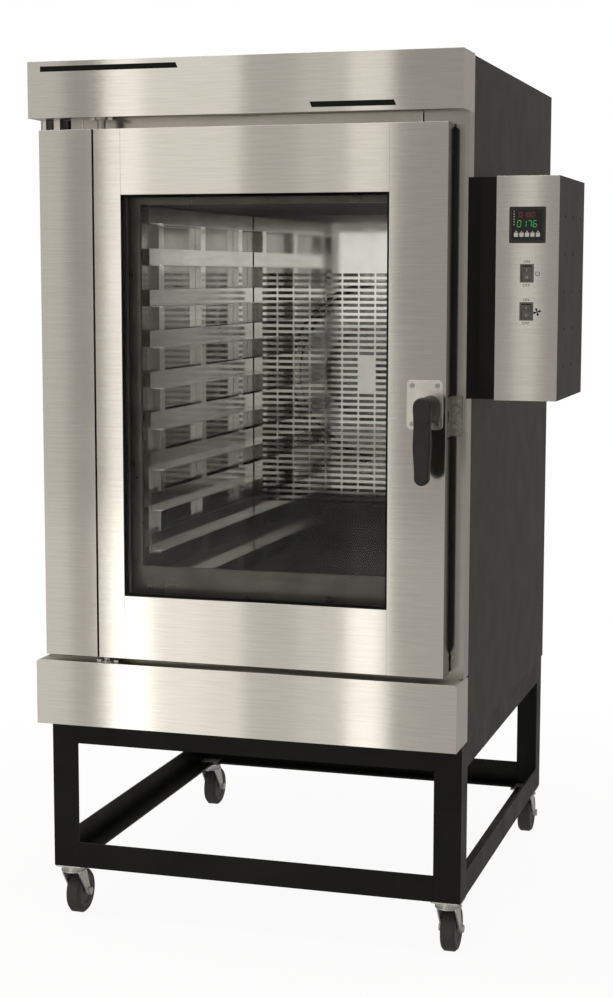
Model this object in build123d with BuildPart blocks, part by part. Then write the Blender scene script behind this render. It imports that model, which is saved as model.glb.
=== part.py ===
from build123d import *
import math
import os

# Cabinet. All sizes are in millimetres.
cabinet_width = 945
cabinet_depth = 1068
skin = 1.5
seat_clearance = 0.3
trim_depth = 112
body_bottom = 474
body_height = 1430
fascia_height = 143.5
fascia_corner_radius = 8
hood_height = 118.5
hood_top = 1907.5
panel_return = 20
base_pan_height = 45
flange_setback = 64.5

# Stand of rolled angle
caster_height = 127
stand_inset = 3
stand_setback = 73
angle_leg = 60
angle_wall = 5
lower_rail_height = 57
lower_rail_flange = 50

# Casters
caster_plate_size = 66
caster_plate_wall = 3
caster_plate_corner = 6
caster_trail = 35
wheel_diameter = 100
wheel_width = 32
wheel_shoulder = 5
hub_recess = 3
hub_recess_radius = 27
axle_radius = 6
axle_nut_radius = 9
axle_nut_height = 6
kingpin_radius = 7
kingpin_lip = 1
race_radius = 27
race_height = 12
fork_wall = 3
fork_crown_radius = 29
wheel_side_gap = 2.5
running_clearance = 0.05

# Door
column_offset = 24.5
column_width = 120.5
door_gap = 4.4
door_width = 766.2
door_thickness = 54.5
door_bottom = 631
door_height = 1133
hinge_stile_width = 60.5
lock_stile_width = 121.1
bottom_rail_height = 137.6
top_rail_height = 137.4
window_return = 42
outer_glass_wall = 5
outer_glass_setback = 4
inner_glass_wall = 6
inner_window_width = 550
inner_window_height = 778
inner_window_left = 26
inner_window_lift = 61
inner_glass_lap = 18
glass_clearance = 0.3
glazing_strip = 6
pin_radius = 6
pin_inset = 15
pin_setback = 10
pin_grip = 22
collar_radius = 9
bracket_wall = 6
bracket_width = 50
bracket_nose = 14

# Handle, latch and keeper
handle_plate_width = 74.8
handle_plate_height = 100.5
handle_plate_wall = 3
handle_plate_corner = 9
handle_plate_right = 6.1
handle_plate_base = 1146.5
handle_screw_inset = 11
handle_screw_radius = 2.5
handle_screw_head = 4.8
handle_screw_head_height = 2.5
handle_screw_length = 9
handle_reach = 82
lever_wall = 17
lever_right = 31.6
lever_top = 1216
lever_length = 177
lever_head_width = 37
lever_waist_width = 34
lever_grip_width = 36.5
lever_tip_width = 30
lever_waist_drop = 57
lever_grip_drop = 95
lever_rim = 4
neck_length = 56
neck_base_width = 43
neck_taper = 6
spindle_radius = 5
latch_length = 60
latch_height = 20
latch_wall = 12
latch_clearance = 0.8
latch_travel = 8
latch_fit = 0.3
latch_setback = 6
latch_tip_chamfer = 2
lock_case_depth = 36
lock_case_margin = 14
lock_case_setback = 1.2
keeper_height = 84
keeper_base = 1128.5
keeper_reach = 44
keeper_nose_wall = 7
keeper_flange_width = 28
keeper_wall = 3
keeper_clearance = 3
keeper_bite = 6.9
keeper_corner = 5
keeper_port_margin = 2

# Cavity, racks and fan
cavity_width = 624
cavity_left = 228
cavity_bottom = 677
cavity_height = 930
cavity_depth = 866
insulation_wall = 45
seal_width = 18
seal_overhang = 7.6
seal_hinge_inset = 34
seal_top_inset = 7
seal_bottom_inset = 25
seal_lower_corner = 40
seal_upper_corner = 8
seal_keeper_clearance = 1
rack_web_height = 37
rack_ledge = 28
rack_standoff = 16
rack_pitch = 88.5
rack_levels = 10
rack_front = 14
rack_length = 705
rack_base = 5
post_width = 30
post_places = (60, 330, 600)
guard_setback = 725
guard_return = 22
guard_clearance = 0.5
slot_width = 38
slot_height = 8
slot_pitch_x = 42.3
slot_pitch_z = 14.9
slot_columns = 13
slot_rows = 39
slot_field_base = 893
guard_blank_radius = 40
fan_height = 1212
fan_radius = 185
fan_wheel_depth = 70
fan_eye_radius = 120
fan_blades = 20
fan_blade_chord = 52
fan_blade_angle = 40
fan_blade_wall = 3
fan_gap = 24
shaft_radius = 7
hub_radius = 22
element_radius = 225
element_tube_radius = 5
element_tube_sides = 8
element_sleeve_radius = 6.5
element_leg_gap = 60
element_setback = 45
motor_radius = 62
motor_length = 78
motor_rim = 8
motor_plate_size = 180
motor_plate_wall = 4
motor_plate_corner = 12
shaft_port_clearance = 6
shaft_end_clearance = 1
louvre_width = 87
louvre_height = 8
louvre_pitch_x = 136
louvre_pitch_z = 45
louvre_rows = 6

# Control box on the right side
duct_width = 63.7
duct_face = 58
duct_fold_depth = 10
duct_fold_place = 24
control_width = 126.8
control_depth = 333
control_height = 449.6
control_base = 1206.9
control_face = 30
bezel_size = 72
bezel_proud = 6
bezel_corner = 2
screen_size = 60.5
screen_recess = 1.5
controller_body = 66
controller_depth = 80
controller_base = 1523
key_size = 8.5
key_pitch = 11
key_travel = 0.6
key_height = 1539.5
key_count = 5
key_proud = 1.0
key_clearance = 0.3
key_corner = 1.5
key_floor = 1
rocker_frame_width = 27.4
rocker_frame_height = 37
rocker_frame_proud = 2.5
rocker_frame_lip = 3.5
rocker_body_depth = 22
rocker_frame_corner = 1
rocker_pivot_depth = 4
rocker_dish = 2
rocker_belly = 9
rocker_end_clearance = 1.2
rocker_clearance = 0.5
rocker_tilt = 10
rocker_heights = (1463, 1387)
vent_radius = 3.5
vent_columns = 3
vent_rows = 5
vent_pitch_y = 103
vent_pitch_z = 75.9
vent_first_y = 81
vent_first_z = 67
gland_radius = 16
gland_bore = 8
gland_length = 34
gland_nut_height = 8
gland_step = 3
gland_lip = 4
gland_rise = 60

# Places that the sizes above fix; the floor is z = 0
left = -(cabinet_width + duct_width + control_width) / 2
right = left + cabinet_width
wheel_overhang = caster_trail + wheel_diameter / 2 - caster_plate_size / 2
overall_depth = handle_reach + cabinet_depth + wheel_overhang
front = handle_reach - overall_depth / 2
back = front + cabinet_depth
trim_back = front + trim_depth
body_top = body_bottom + body_height
fascia_top = body_bottom + fascia_height
hood_bottom = hood_top - hood_height
flange_face = front + flange_setback
stand_left = left + stand_inset
stand_right = right - stand_inset
stand_front = front + stand_setback
door_left = left + column_offset + column_width + door_gap
door_right = door_left + door_width
door_top = door_bottom + door_height
door_back = front + door_thickness
window_left = door_left + hinge_stile_width
window_right = door_right - lock_stile_width
window_bottom = door_bottom + bottom_rail_height
window_top = door_top - top_rail_height
cavity_x = left + cavity_left
cavity_right = cavity_x + cavity_width
cavity_top = cavity_bottom + cavity_height
cavity_front = flange_face + skin
cavity_back = cavity_front + cavity_depth
cavity_middle = (cavity_x + cavity_right) / 2

os.makedirs("parts", exist_ok=True)


def plan(z):
    """Level plane at height z; sketches on it use x and y."""
    return Plane.XY.offset(z)


def elevation(y):
    """Upright plane facing the viewer; sketches on it use x and z."""
    return Plane.XZ.offset(-y)


def side(x):
    """Upright plane facing +X; sketches on it use y and z."""
    return Plane.YZ.offset(x)


def rectangle(x0, x1, y0, y1, mode=Mode.ADD):
    """A rectangle given by its edges."""
    with Locations(((x0 + x1) / 2, (y0 + y1) / 2)):
        Rectangle(x1 - x0, y1 - y0, mode=mode)


def angle_section(corner, into, legs, wall):
    """An L section from its outer corner, its two directions and its legs."""
    cx, cy = corner
    ix, iy = into
    Polygon(
        (cx, cy),
        (cx + ix * legs[0], cy),
        (cx + ix * legs[0], cy + iy * wall),
        (cx + ix * wall, cy + iy * wall),
        (cx + ix * wall, cy + iy * legs[1]),
        (cx, cy + iy * legs[1]),
        align=None,
    )


def write_part(piece, label):
    """Names a finished piece and writes its file."""
    piece.part.label = label
    export_step(piece.part, f"parts/{label}.step")


def strip(x0, x1, y0, y1, z0, z1):
    """A flat sheet or strip, given by its edges."""
    with BuildPart() as sheet:
        with BuildSketch(plan(z0)):
            rectangle(x0, x1, y0, y1)
        extrude(amount=z1 - z0)
    return sheet.part.solid()


def write_sheets(sheets, label):
    """Writes sheets that meet face to face as one welded piece, each a solid."""
    welded = Compound(sheets)
    welded.label = label
    export_step(welded, f"parts/{label}.step")


# Stand legs: angles with their corner outwards
with BuildPart() as stand_legs:
    with BuildSketch(plan(caster_height)):
        for x, into_x in ((stand_left, 1), (stand_right, -1)):
            for y, into_y in ((stand_front, 1), (back, -1)):
                angle_section((x, y), (into_x, into_y), (angle_leg, angle_leg), angle_wall)
    extrude(amount=body_bottom - caster_height)
write_part(stand_legs, "stand_legs")


def stand_rails(corner_z, into_z, legs):
    """Four rails between the legs, their webs flush with the outer faces."""
    with BuildPart() as rails:
        with BuildSketch(side(stand_left + angle_leg)):
            for y, into_y in ((stand_front, 1), (back, -1)):
                angle_section((y, corner_z), (into_y, into_z), legs, angle_wall)
        extrude(amount=stand_right - stand_left - 2 * angle_leg)
        with BuildSketch(elevation(back - angle_leg)):
            for x, into_x in ((stand_left, 1), (stand_right, -1)):
                angle_section((x, corner_z), (into_x, into_z), legs, angle_wall)
        extrude(amount=back - stand_front - 2 * angle_leg)
    return rails


lower_rails = stand_rails(caster_height, 1, (lower_rail_flange, lower_rail_height))
write_part(lower_rails, "lower_rails")
upper_rails = stand_rails(body_bottom, -1, (angle_leg, angle_leg))
write_part(upper_rails, "upper_rails")

# Casters, one under each leg
caster_inset = caster_plate_size / 2
caster_front = stand_front + caster_inset
caster_back = back - caster_inset
caster_places = {
    "front_left": (stand_left + caster_inset, caster_front),
    "front_right": (stand_right - caster_inset, caster_front),
    "rear_left": (stand_left + caster_inset, caster_back),
    "rear_right": (stand_right - caster_inset, caster_back),
}
plate_bottom = caster_height - caster_plate_wall
crown_top = plate_bottom - race_height
wheel_radius = wheel_diameter / 2

with BuildPart() as caster_plates:
    with BuildSketch(plan(plate_bottom)):
        with Locations(*caster_places.values()):
            RectangleRounded(caster_plate_size, caster_plate_size, caster_plate_corner)
    extrude(amount=caster_plate_wall)
    with BuildSketch(plan(crown_top)):
        with Locations(*caster_places.values()):
            Circle(race_radius)
    extrude(amount=race_height)
    with BuildSketch(plan(crown_top - fork_wall - kingpin_lip)):
        with Locations(*caster_places.values()):
            Circle(kingpin_radius)
    extrude(amount=fork_wall + kingpin_lip)
write_part(caster_plates, "caster_plates")

cheek_inner = wheel_width / 2 + wheel_side_gap
cheek_outer = cheek_inner + fork_wall


def caster_fork(x, y):
    """A pressed fork: crown, two tapering cheeks, axle and nut."""
    axle_y = y + caster_trail
    crown_half = math.sqrt(fork_crown_radius**2 - cheek_outer**2)
    with BuildPart() as fork:
        with BuildSketch(plan(crown_top)):
            with Locations((x, y)):
                Circle(fork_crown_radius)
                Circle(kingpin_radius + running_clearance, mode=Mode.SUBTRACT)
        extrude(amount=-fork_wall)
        for x0 in (x - cheek_outer, x + cheek_inner):
            with BuildSketch(side(x0)):
                with BuildLine():
                    Polyline(
                        (y - crown_half, crown_top),
                        (y + crown_half, crown_top),
                        (axle_y + axle_nut_radius, wheel_radius),
                        (axle_y - axle_nut_radius, wheel_radius - axle_nut_radius / 2),
                        (y - crown_half, crown_top - 2 * fork_wall),
                        close=True,
                    )
                make_face()
                with Locations((axle_y, wheel_radius)):
                    Circle(axle_nut_radius)
            extrude(amount=fork_wall)
        with BuildSketch(side(x - cheek_outer)):
            with Locations((axle_y, wheel_radius)):
                Circle(axle_radius)
        extrude(amount=2 * cheek_outer)
        for x0, way in ((x - cheek_outer, -1), (x + cheek_outer, 1)):
            with BuildSketch(side(x0)):
                with Locations((axle_y, wheel_radius)):
                    RegularPolygon(axle_nut_radius, 6)
            extrude(amount=way * axle_nut_height)
    return fork


def caster_wheel(x, y):
    """A rubber wheel turned about its axle, with a recessed hub face."""
    half = wheel_width / 2
    bore = axle_radius + running_clearance
    centre = (x, y + caster_trail, wheel_radius)
    with BuildPart() as wheel:
        with BuildSketch(Plane(origin=centre)):
            Polygon(
                (-half + hub_recess, bore),
                (-half + hub_recess, hub_recess_radius),
                (-half, hub_recess_radius + hub_recess),
                (-half, wheel_radius - wheel_shoulder),
                (-half + wheel_shoulder, wheel_radius),
                (half - wheel_shoulder, wheel_radius),
                (half, wheel_radius - wheel_shoulder),
                (half, hub_recess_radius + hub_recess),
                (half - hub_recess, hub_recess_radius),
                (half - hub_recess, bore),
                align=None,
            )
        revolve(axis=Axis(centre, (1, 0, 0)))
    return wheel


for place, (x, y) in caster_places.items():
    write_part(caster_fork(x, y), f"{place}_fork")
    write_part(caster_wheel(x, y), f"{place}_wheel")

# Base pan under the cabinet, folded up on its four sides
with BuildPart() as base_pan:
    with BuildSketch(plan(body_bottom)):
        rectangle(left + skin, right - skin, trim_back, back - skin)
    extrude(amount=base_pan_height)
    offset(amount=-skin, openings=base_pan.faces().sort_by(Axis.Z)[-1])
write_part(base_pan, "base_pan")


def side_panel(outer_x, into):
    """A painted side sheet with its front and rear edges folded in."""
    inner_x = outer_x + into * (skin + panel_return)
    with BuildPart() as panel:
        with BuildSketch(plan(body_bottom + base_pan_height)):
            rectangle(*sorted((outer_x, inner_x)), trim_back, back - skin)
            rectangle(
                *sorted((outer_x + into * skin, inner_x)),
                trim_back + skin,
                back - 2 * skin,
                mode=Mode.SUBTRACT,
            )
        extrude(amount=body_height - base_pan_height - skin)
        with BuildSketch(plan(body_bottom)):
            rectangle(*sorted((outer_x, outer_x + into * skin)), trim_back, back - skin)
        extrude(amount=base_pan_height)
    return panel


left_side_panel = side_panel(left, 1)
write_part(left_side_panel, "left_side_panel")
right_side_panel = side_panel(right, -1)
write_part(right_side_panel, "right_side_panel")

# Top cover, flat over the side panels
with BuildPart() as top_cover:
    with BuildSketch(plan(body_top - skin)):
        rectangle(left, right, trim_back, back)
    extrude(amount=skin)
write_part(top_cover, "top_cover")

# Rear cover with louvre slots for the fan motor
with BuildPart() as rear_cover:
    with BuildSketch(elevation(back)):
        rectangle(left, right, body_bottom, body_top - skin)
        with Locations((cavity_middle, fan_height)):
            with GridLocations(louvre_pitch_x, louvre_pitch_z, 2, louvre_rows):
                Rectangle(louvre_width, louvre_height, mode=Mode.SUBTRACT)
    extrude(amount=skin)
write_part(rear_cover, "rear_cover")

# Hood and bottom fascia, folded stainless trims that are open behind
with BuildPart() as hood:
    with BuildSketch(elevation(trim_back)):
        rectangle(left, right, hood_bottom, hood_top)
    extrude(amount=trim_depth)
    offset(amount=-skin, openings=hood.faces().sort_by(Axis.Y)[-1])
write_part(hood, "hood")

with BuildPart() as bottom_fascia:
    with BuildSketch(elevation(trim_back)):
        rectangle(left, right, body_bottom, fascia_top)
    extrude(amount=trim_depth)
    upright_edges = bottom_fascia.edges().filter_by(Axis.Y).group_by(Axis.Z)[-1]
    fillet(upright_edges, radius=fascia_corner_radius)
    offset(amount=-skin, openings=bottom_fascia.faces().sort_by(Axis.Y)[-1])
write_part(bottom_fascia, "bottom_fascia")

# Front frame: the flange around the cavity mouth and its side returns
with BuildPart() as front_frame:
    with BuildSketch(elevation(trim_back)):
        rectangle(left, right, fascia_top, hood_bottom)
    extrude(amount=trim_back - flange_face)
    with BuildSketch(elevation(trim_back)):
        rectangle(left + skin, right - skin, fascia_top, hood_bottom)
    extrude(amount=trim_back - cavity_front, mode=Mode.SUBTRACT)
    with BuildSketch(elevation(cavity_front)):
        rectangle(cavity_x, cavity_right, cavity_bottom, cavity_top)
    extrude(amount=skin, mode=Mode.SUBTRACT)
write_part(front_frame, "front_frame")

# Fixed column beside the door's hinge side
with BuildPart() as hinge_column:
    with BuildSketch(elevation(flange_face)):
        rectangle(left + column_offset, door_left - door_gap, door_bottom, door_top)
    extrude(amount=flange_setback)
    offset(amount=-skin, openings=hinge_column.faces().sort_by(Axis.Y)[-1])
write_part(hinge_column, "hinge_column")

# Half the angle between the heating element's two legs, and their height
element_half_gap = math.degrees(math.asin(element_leg_gap / 2 / element_radius))
element_leg_height = fan_height - math.sqrt(element_radius**2 - element_leg_gap**2 / 4)

# Cavity liner: five sheets welded along their edges, the back one bored for the fan's
# shaft and the heating element's legs
with BuildPart() as liner_back:
    with BuildSketch(elevation(cavity_back + skin)):
        rectangle(cavity_x - skin, cavity_right + skin, cavity_bottom - skin, cavity_top + skin)
        with Locations((cavity_middle, fan_height)):
            Circle(shaft_radius + shaft_port_clearance, mode=Mode.SUBTRACT)
        with Locations((cavity_middle, element_leg_height)):
            with GridLocations(element_leg_gap, 1, 2, 1):
                Circle(element_sleeve_radius + running_clearance, mode=Mode.SUBTRACT)
    extrude(amount=skin)
liner_sheets = [liner_back.part.solid()]
for x0 in (cavity_x - skin, cavity_right):
    liner_sheets.append(
        strip(x0, x0 + skin, cavity_front, cavity_back, cavity_bottom - skin, cavity_top + skin)
    )
for z0 in (cavity_bottom - skin, cavity_top):
    liner_sheets.append(strip(cavity_x, cavity_right, cavity_front, cavity_back, z0, z0 + skin))
write_sheets(liner_sheets, "cavity_liner")

# Mineral wool around the liner
wool_back = cavity_back + skin + insulation_wall
with BuildPart() as insulation:
    with BuildSketch(elevation(wool_back)):
        rectangle(
            cavity_x - skin - insulation_wall,
            cavity_right + skin + insulation_wall,
            cavity_bottom - skin - insulation_wall,
            cavity_top + skin + insulation_wall,
        )
    extrude(amount=wool_back - cavity_front)
    with BuildSketch(elevation(cavity_back + skin)):
        rectangle(cavity_x - skin, cavity_right + skin, cavity_bottom - skin, cavity_top + skin)
    extrude(amount=cavity_depth + skin, mode=Mode.SUBTRACT)
    with BuildSketch(elevation(wool_back)):
        with Locations((cavity_middle, fan_height)):
            Circle(shaft_radius + shaft_port_clearance)
        with Locations((cavity_middle, element_leg_height)):
            Rectangle(2 * element_leg_gap, element_leg_gap)
    extrude(amount=insulation_wall, mode=Mode.SUBTRACT)
write_part(insulation, "insulation")

# Silicone seal on the flange. It shows past the door's lock edge and parts at the keeper.
seal_left = door_left + seal_hinge_inset
seal_right = door_right + seal_overhang
seal_bottom = door_bottom + seal_bottom_inset
seal_top = door_top - seal_top_inset
keeper_nose = door_right - keeper_bite
with BuildPart() as door_seal:
    with BuildSketch(elevation(flange_face)):
        rectangle(seal_left, seal_right, seal_bottom, seal_top)
    extrude(amount=flange_face - door_back)
    fillet(door_seal.edges().filter_by(Axis.Y).group_by(Axis.Z)[0], radius=seal_lower_corner)
    fillet(door_seal.edges().filter_by(Axis.Y).group_by(Axis.Z)[-1], radius=seal_upper_corner)
    offset(amount=-seal_width, openings=door_seal.faces().filter_by(Axis.Y))
    with BuildSketch(elevation(flange_face)):
        rectangle(
            keeper_nose - seal_keeper_clearance,
            seal_right,
            keeper_base - seal_keeper_clearance,
            keeper_base + keeper_height + seal_keeper_clearance,
        )
    extrude(amount=flange_face - door_back, mode=Mode.SUBTRACT)
write_part(door_seal, "door_seal")

# Fan guard: a slotted pan across the back of the cavity, its edges folded back.
# The middle of the field stays closed in front of the fan's hub.
guard_face = cavity_front + guard_setback
guard_left = cavity_x + guard_clearance
guard_right = cavity_right - guard_clearance
guard_bottom = cavity_bottom + guard_clearance
guard_top = cavity_top - guard_clearance
slot_places = []
for column in range(slot_columns):
    slot_x = cavity_middle + (column - (slot_columns - 1) / 2) * slot_pitch_x
    for row in range(slot_rows):
        slot_z = slot_field_base + row * slot_pitch_z
        if math.hypot(slot_x - cavity_middle, slot_z - fan_height) > guard_blank_radius:
            slot_places.append((slot_x, slot_z))
with BuildPart() as fan_guard:
    with BuildSketch(elevation(guard_face + skin)):
        rectangle(guard_left, guard_right, guard_bottom, guard_top)
        with Locations(*slot_places):
            Rectangle(slot_width, slot_height, mode=Mode.SUBTRACT)
    extrude(amount=skin)
    with BuildSketch(elevation(guard_face + guard_return)):
        rectangle(guard_left, guard_right, guard_bottom, guard_top)
        rectangle(
            guard_left + skin,
            guard_right - skin,
            guard_bottom + skin,
            guard_top - skin,
            mode=Mode.SUBTRACT,
        )
    extrude(amount=guard_return - skin)
write_part(fan_guard, "fan_guard")

# Heating element: a loop around the fan, with two sleeved legs out through the back
element_y = cavity_back - element_setback
element_end = cavity_back + 2 * insulation_wall / 3
with BuildPart() as heating_element:
    with BuildLine(elevation(element_y)) as loop:
        CenterArc(
            (cavity_middle, fan_height),
            element_radius,
            element_half_gap - 90,
            360 - 2 * element_half_gap,
        )
    with BuildSketch(Plane(loop.line @ 0, z_dir=loop.line % 0)):
        RegularPolygon(element_tube_radius, element_tube_sides)
    sweep(path=loop.line)
    with BuildSketch(elevation(element_end)):
        with Locations((cavity_middle, element_leg_height)):
            with GridLocations(element_leg_gap, 1, 2, 1):
                Circle(element_sleeve_radius)
    extrude(amount=element_end - element_y + element_sleeve_radius)
write_part(heating_element, "heating_element")

# Fan: backplate, blades, front ring, hub and shaft
fan_back = cavity_back - fan_gap
fan_front = fan_back - fan_wheel_depth
shaft_end = wool_back + motor_plate_wall + motor_length / 2
with BuildPart() as fan_wheel:
    with BuildSketch(elevation(fan_back)):
        with Locations((cavity_middle, fan_height)):
            Circle(fan_radius)
    extrude(amount=skin)
    with BuildSketch(elevation(fan_back)):
        with Locations((cavity_middle, fan_height)):
            Circle(hub_radius)
    extrude(amount=fan_wheel_depth / 2)
    with BuildSketch(elevation(fan_front + skin)):
        with Locations((cavity_middle, fan_height)):
            Circle(fan_radius)
            Circle(fan_eye_radius, mode=Mode.SUBTRACT)
    extrude(amount=skin)
    blade_radius = (fan_radius + fan_eye_radius) / 2
    with BuildSketch(elevation(fan_back)):
        with Locations((cavity_middle, fan_height)):
            with PolarLocations(blade_radius, fan_blades):
                Rectangle(fan_blade_chord, fan_blade_wall, rotation=fan_blade_angle)
    extrude(amount=fan_wheel_depth)
    with BuildSketch(elevation(shaft_end)):
        with Locations((cavity_middle, fan_height)):
            Circle(shaft_radius)
    extrude(amount=shaft_end - fan_back + fan_wheel_depth / 2)
write_part(fan_wheel, "fan_wheel")

# Fan motor behind the wool, bored for the fan's shaft
with BuildPart() as fan_motor:
    with BuildSketch(elevation(wool_back + motor_plate_wall)):
        with Locations((cavity_middle, fan_height)):
            RectangleRounded(motor_plate_size, motor_plate_size, motor_plate_corner)
    extrude(amount=motor_plate_wall)
    with BuildSketch(elevation(wool_back + motor_plate_wall)):
        with Locations((cavity_middle, fan_height)):
            Circle(motor_radius)
    extrude(amount=-motor_length)
    chamfer(fan_motor.faces().sort_by(Axis.Y)[-1].edges(), length=motor_rim)
    with BuildSketch(elevation(wool_back)):
        with Locations((cavity_middle, fan_height)):
            Circle(shaft_radius + running_clearance)
    extrude(amount=-(shaft_end - wool_back + shaft_end_clearance), mode=Mode.SUBTRACT)
write_part(fan_motor, "fan_motor")


def tray_rack(wall_x, into):
    """Hollow posts against the cavity wall carry web strips with ledges for the trays."""
    web_face = wall_x + into * rack_standoff
    web_back = web_face - into * skin
    ledge_tip = web_face + into * rack_ledge
    post_back = wall_x + into * seat_clearance
    start_y = cavity_front + rack_front
    end_y = start_y + rack_length
    sheets = []
    for level in range(rack_levels + 1):
        base = cavity_bottom + rack_base + level * rack_pitch
        sheets.append(
            strip(*sorted((web_back, web_face)), start_y, end_y, base, base + rack_web_height)
        )
        sheets.append(strip(*sorted((web_face, ledge_tip)), start_y, end_y, base, base + skin))
    for place in post_places:
        post_y = start_y + place
        with BuildPart() as post:
            with BuildSketch(plan(cavity_bottom)):
                rectangle(*sorted((post_back, web_back)), post_y, post_y + post_width)
                rectangle(
                    *sorted((post_back + into * skin, web_back - into * skin)),
                    post_y + skin,
                    post_y + post_width - skin,
                    mode=Mode.SUBTRACT,
                )
            extrude(amount=rack_base + rack_levels * rack_pitch + rack_web_height)
        sheets.append(post.part.solid())
    return sheets


write_sheets(tray_rack(cavity_x, 1), "left_rack")
write_sheets(tray_rack(cavity_right, -1), "right_rack")


def door_member(x0, x1, z0, z1):
    """A folded door member, open behind, before its window edge is cut back."""
    with BuildPart() as member:
        with BuildSketch(elevation(door_back - skin)):
            rectangle(x0, x1, z0, z1)
        extrude(amount=door_thickness - skin)
        offset(amount=-skin, openings=member.faces().sort_by(Axis.Y)[-1])
        with BuildSketch(elevation(door_back)):
            rectangle(window_left - skin, window_right + skin, window_bottom - skin, window_top + skin)
        extrude(amount=door_thickness - window_return, mode=Mode.SUBTRACT)
    return member


# Pivot line of the door, close to its hinge edge
pin_x = door_left + pin_inset
pin_y = front + pin_setback
pin_ports = ((door_bottom, 1), (door_top, -1))

hinge_stile = door_member(door_left, window_left, door_bottom, door_top)
with BuildPart() as door_left_stile:
    add(hinge_stile.part)
    for z, way in pin_ports:
        with BuildSketch(plan(z)):
            with Locations((pin_x, pin_y)):
                Circle(pin_radius + running_clearance)
        extrude(amount=way * skin, mode=Mode.SUBTRACT)
write_part(door_left_stile, "door_left_stile")

# The lock stile has a notch for the keeper and a port for the spindle
notch_bottom = keeper_base - keeper_clearance
notch_top = keeper_base + keeper_height + keeper_clearance
notch_front = flange_face - keeper_reach - keeper_clearance
lever_x = door_right - lever_right
spindle_z = lever_top - neck_length / 2
lock_stile = door_member(window_right, door_right, door_bottom, door_top)
plate_right = door_right - handle_plate_right
plate_left = plate_right - handle_plate_width
plate_x = (plate_left + plate_right) / 2
plate_z = handle_plate_base + handle_plate_height / 2
screw_span_x = handle_plate_width - 2 * handle_screw_inset
screw_span_z = handle_plate_height - 2 * handle_screw_inset
with BuildPart() as door_right_stile:
    add(lock_stile.part)
    with BuildSketch(side(door_right - skin)):
        rectangle(notch_front, door_back, notch_bottom, notch_top)
    extrude(amount=skin, mode=Mode.SUBTRACT)
    with BuildSketch(elevation(front + skin)):
        with Locations((lever_x, spindle_z)):
            Circle(spindle_radius + seat_clearance)
        with Locations((plate_x, plate_z)):
            with GridLocations(screw_span_x, screw_span_z, 2, 2):
                Circle(handle_screw_radius + running_clearance)
    extrude(amount=skin, mode=Mode.SUBTRACT)
write_part(door_right_stile, "door_right_stile")

door_bottom_rail = door_member(window_left, window_right, door_bottom, window_bottom)
write_part(door_bottom_rail, "door_bottom_rail")
door_top_rail = door_member(window_left, window_right, window_top, door_top)
write_part(door_top_rail, "door_top_rail")

# Door liner: the back plate and the pocket wall that holds the inner glass
pane_left = window_left + inner_window_left
pane_right = pane_left + inner_window_width
pane_bottom = window_bottom + inner_window_lift
pane_top = pane_bottom + inner_window_height
pocket_depth = inner_glass_wall + 2 * glass_clearance
plate_front = door_back - skin


def pane_rectangle(margin, mode=Mode.ADD):
    """The inner window's outline, grown by a margin."""
    rectangle(
        pane_left - margin,
        pane_right + margin,
        pane_bottom - margin,
        pane_top + margin,
        mode=mode,
    )


with BuildPart() as door_liner:
    with BuildSketch(elevation(door_back)):
        rectangle(door_left, door_right, door_bottom, door_top)
        pane_rectangle(0, mode=Mode.SUBTRACT)
        rectangle(
            door_right - keeper_bite - keeper_clearance,
            door_right,
            notch_bottom,
            notch_top,
            mode=Mode.SUBTRACT,
        )
    extrude(amount=skin)
    with BuildSketch(elevation(plate_front)):
        pane_rectangle(inner_glass_lap)
        pane_rectangle(inner_glass_lap - skin, mode=Mode.SUBTRACT)
    extrude(amount=pocket_depth)
write_part(door_liner, "door_liner")

with BuildPart() as inner_glass_frame:
    with BuildSketch(elevation(plate_front - pocket_depth)):
        pane_rectangle(inner_glass_lap)
        pane_rectangle(0, mode=Mode.SUBTRACT)
    extrude(amount=skin)
write_part(inner_glass_frame, "inner_glass_frame")

with BuildPart() as inner_glass:
    with BuildSketch(elevation(plate_front - glass_clearance)):
        pane_rectangle(inner_glass_lap - skin - glass_clearance)
    extrude(amount=inner_glass_wall)
write_part(inner_glass, "inner_glass")

# Outer glass between the window returns, held by four strips
outer_glass_back = front + outer_glass_setback + outer_glass_wall
with BuildPart() as outer_glass:
    with BuildSketch(elevation(outer_glass_back)):
        rectangle(
            window_left + glass_clearance,
            window_right - glass_clearance,
            window_bottom + glass_clearance,
            window_top - glass_clearance,
        )
    extrude(amount=outer_glass_wall)
write_part(outer_glass, "outer_glass")

with BuildPart() as glazing_strips:
    with BuildSketch(elevation(outer_glass_back + glazing_strip)):
        rectangle(window_left, window_left + glazing_strip, window_bottom, window_top)
        rectangle(window_right - glazing_strip, window_right, window_bottom, window_top)
    extrude(amount=glazing_strip)
    with BuildSketch(elevation(outer_glass_back + glazing_strip)):
        for z0 in (window_bottom, window_top - glazing_strip):
            rectangle(
                window_left + glazing_strip + glass_clearance,
                window_right - glazing_strip - glass_clearance,
                z0,
                z0 + glazing_strip,
            )
    extrude(amount=glazing_strip)
write_part(glazing_strips, "glazing_strips")

# Hinge pins in the door, each with a collar against its bracket
lower_bracket_top = fascia_top + bracket_wall
upper_bracket_bottom = hood_bottom - bracket_wall
with BuildPart() as hinge_pins:
    for z, way, collar in (
        (door_bottom, -1, door_bottom - lower_bracket_top),
        (door_top, 1, upper_bracket_bottom - door_top),
    ):
        with BuildSketch(plan(z)):
            with Locations((pin_x, pin_y)):
                Circle(collar_radius)
        extrude(amount=way * collar)
        with BuildSketch(plan(z - way * pin_grip)):
            with Locations((pin_x, pin_y)):
                Circle(pin_radius)
        extrude(amount=way * (pin_grip + collar + bracket_wall))
write_part(hinge_pins, "hinge_pins")

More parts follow.
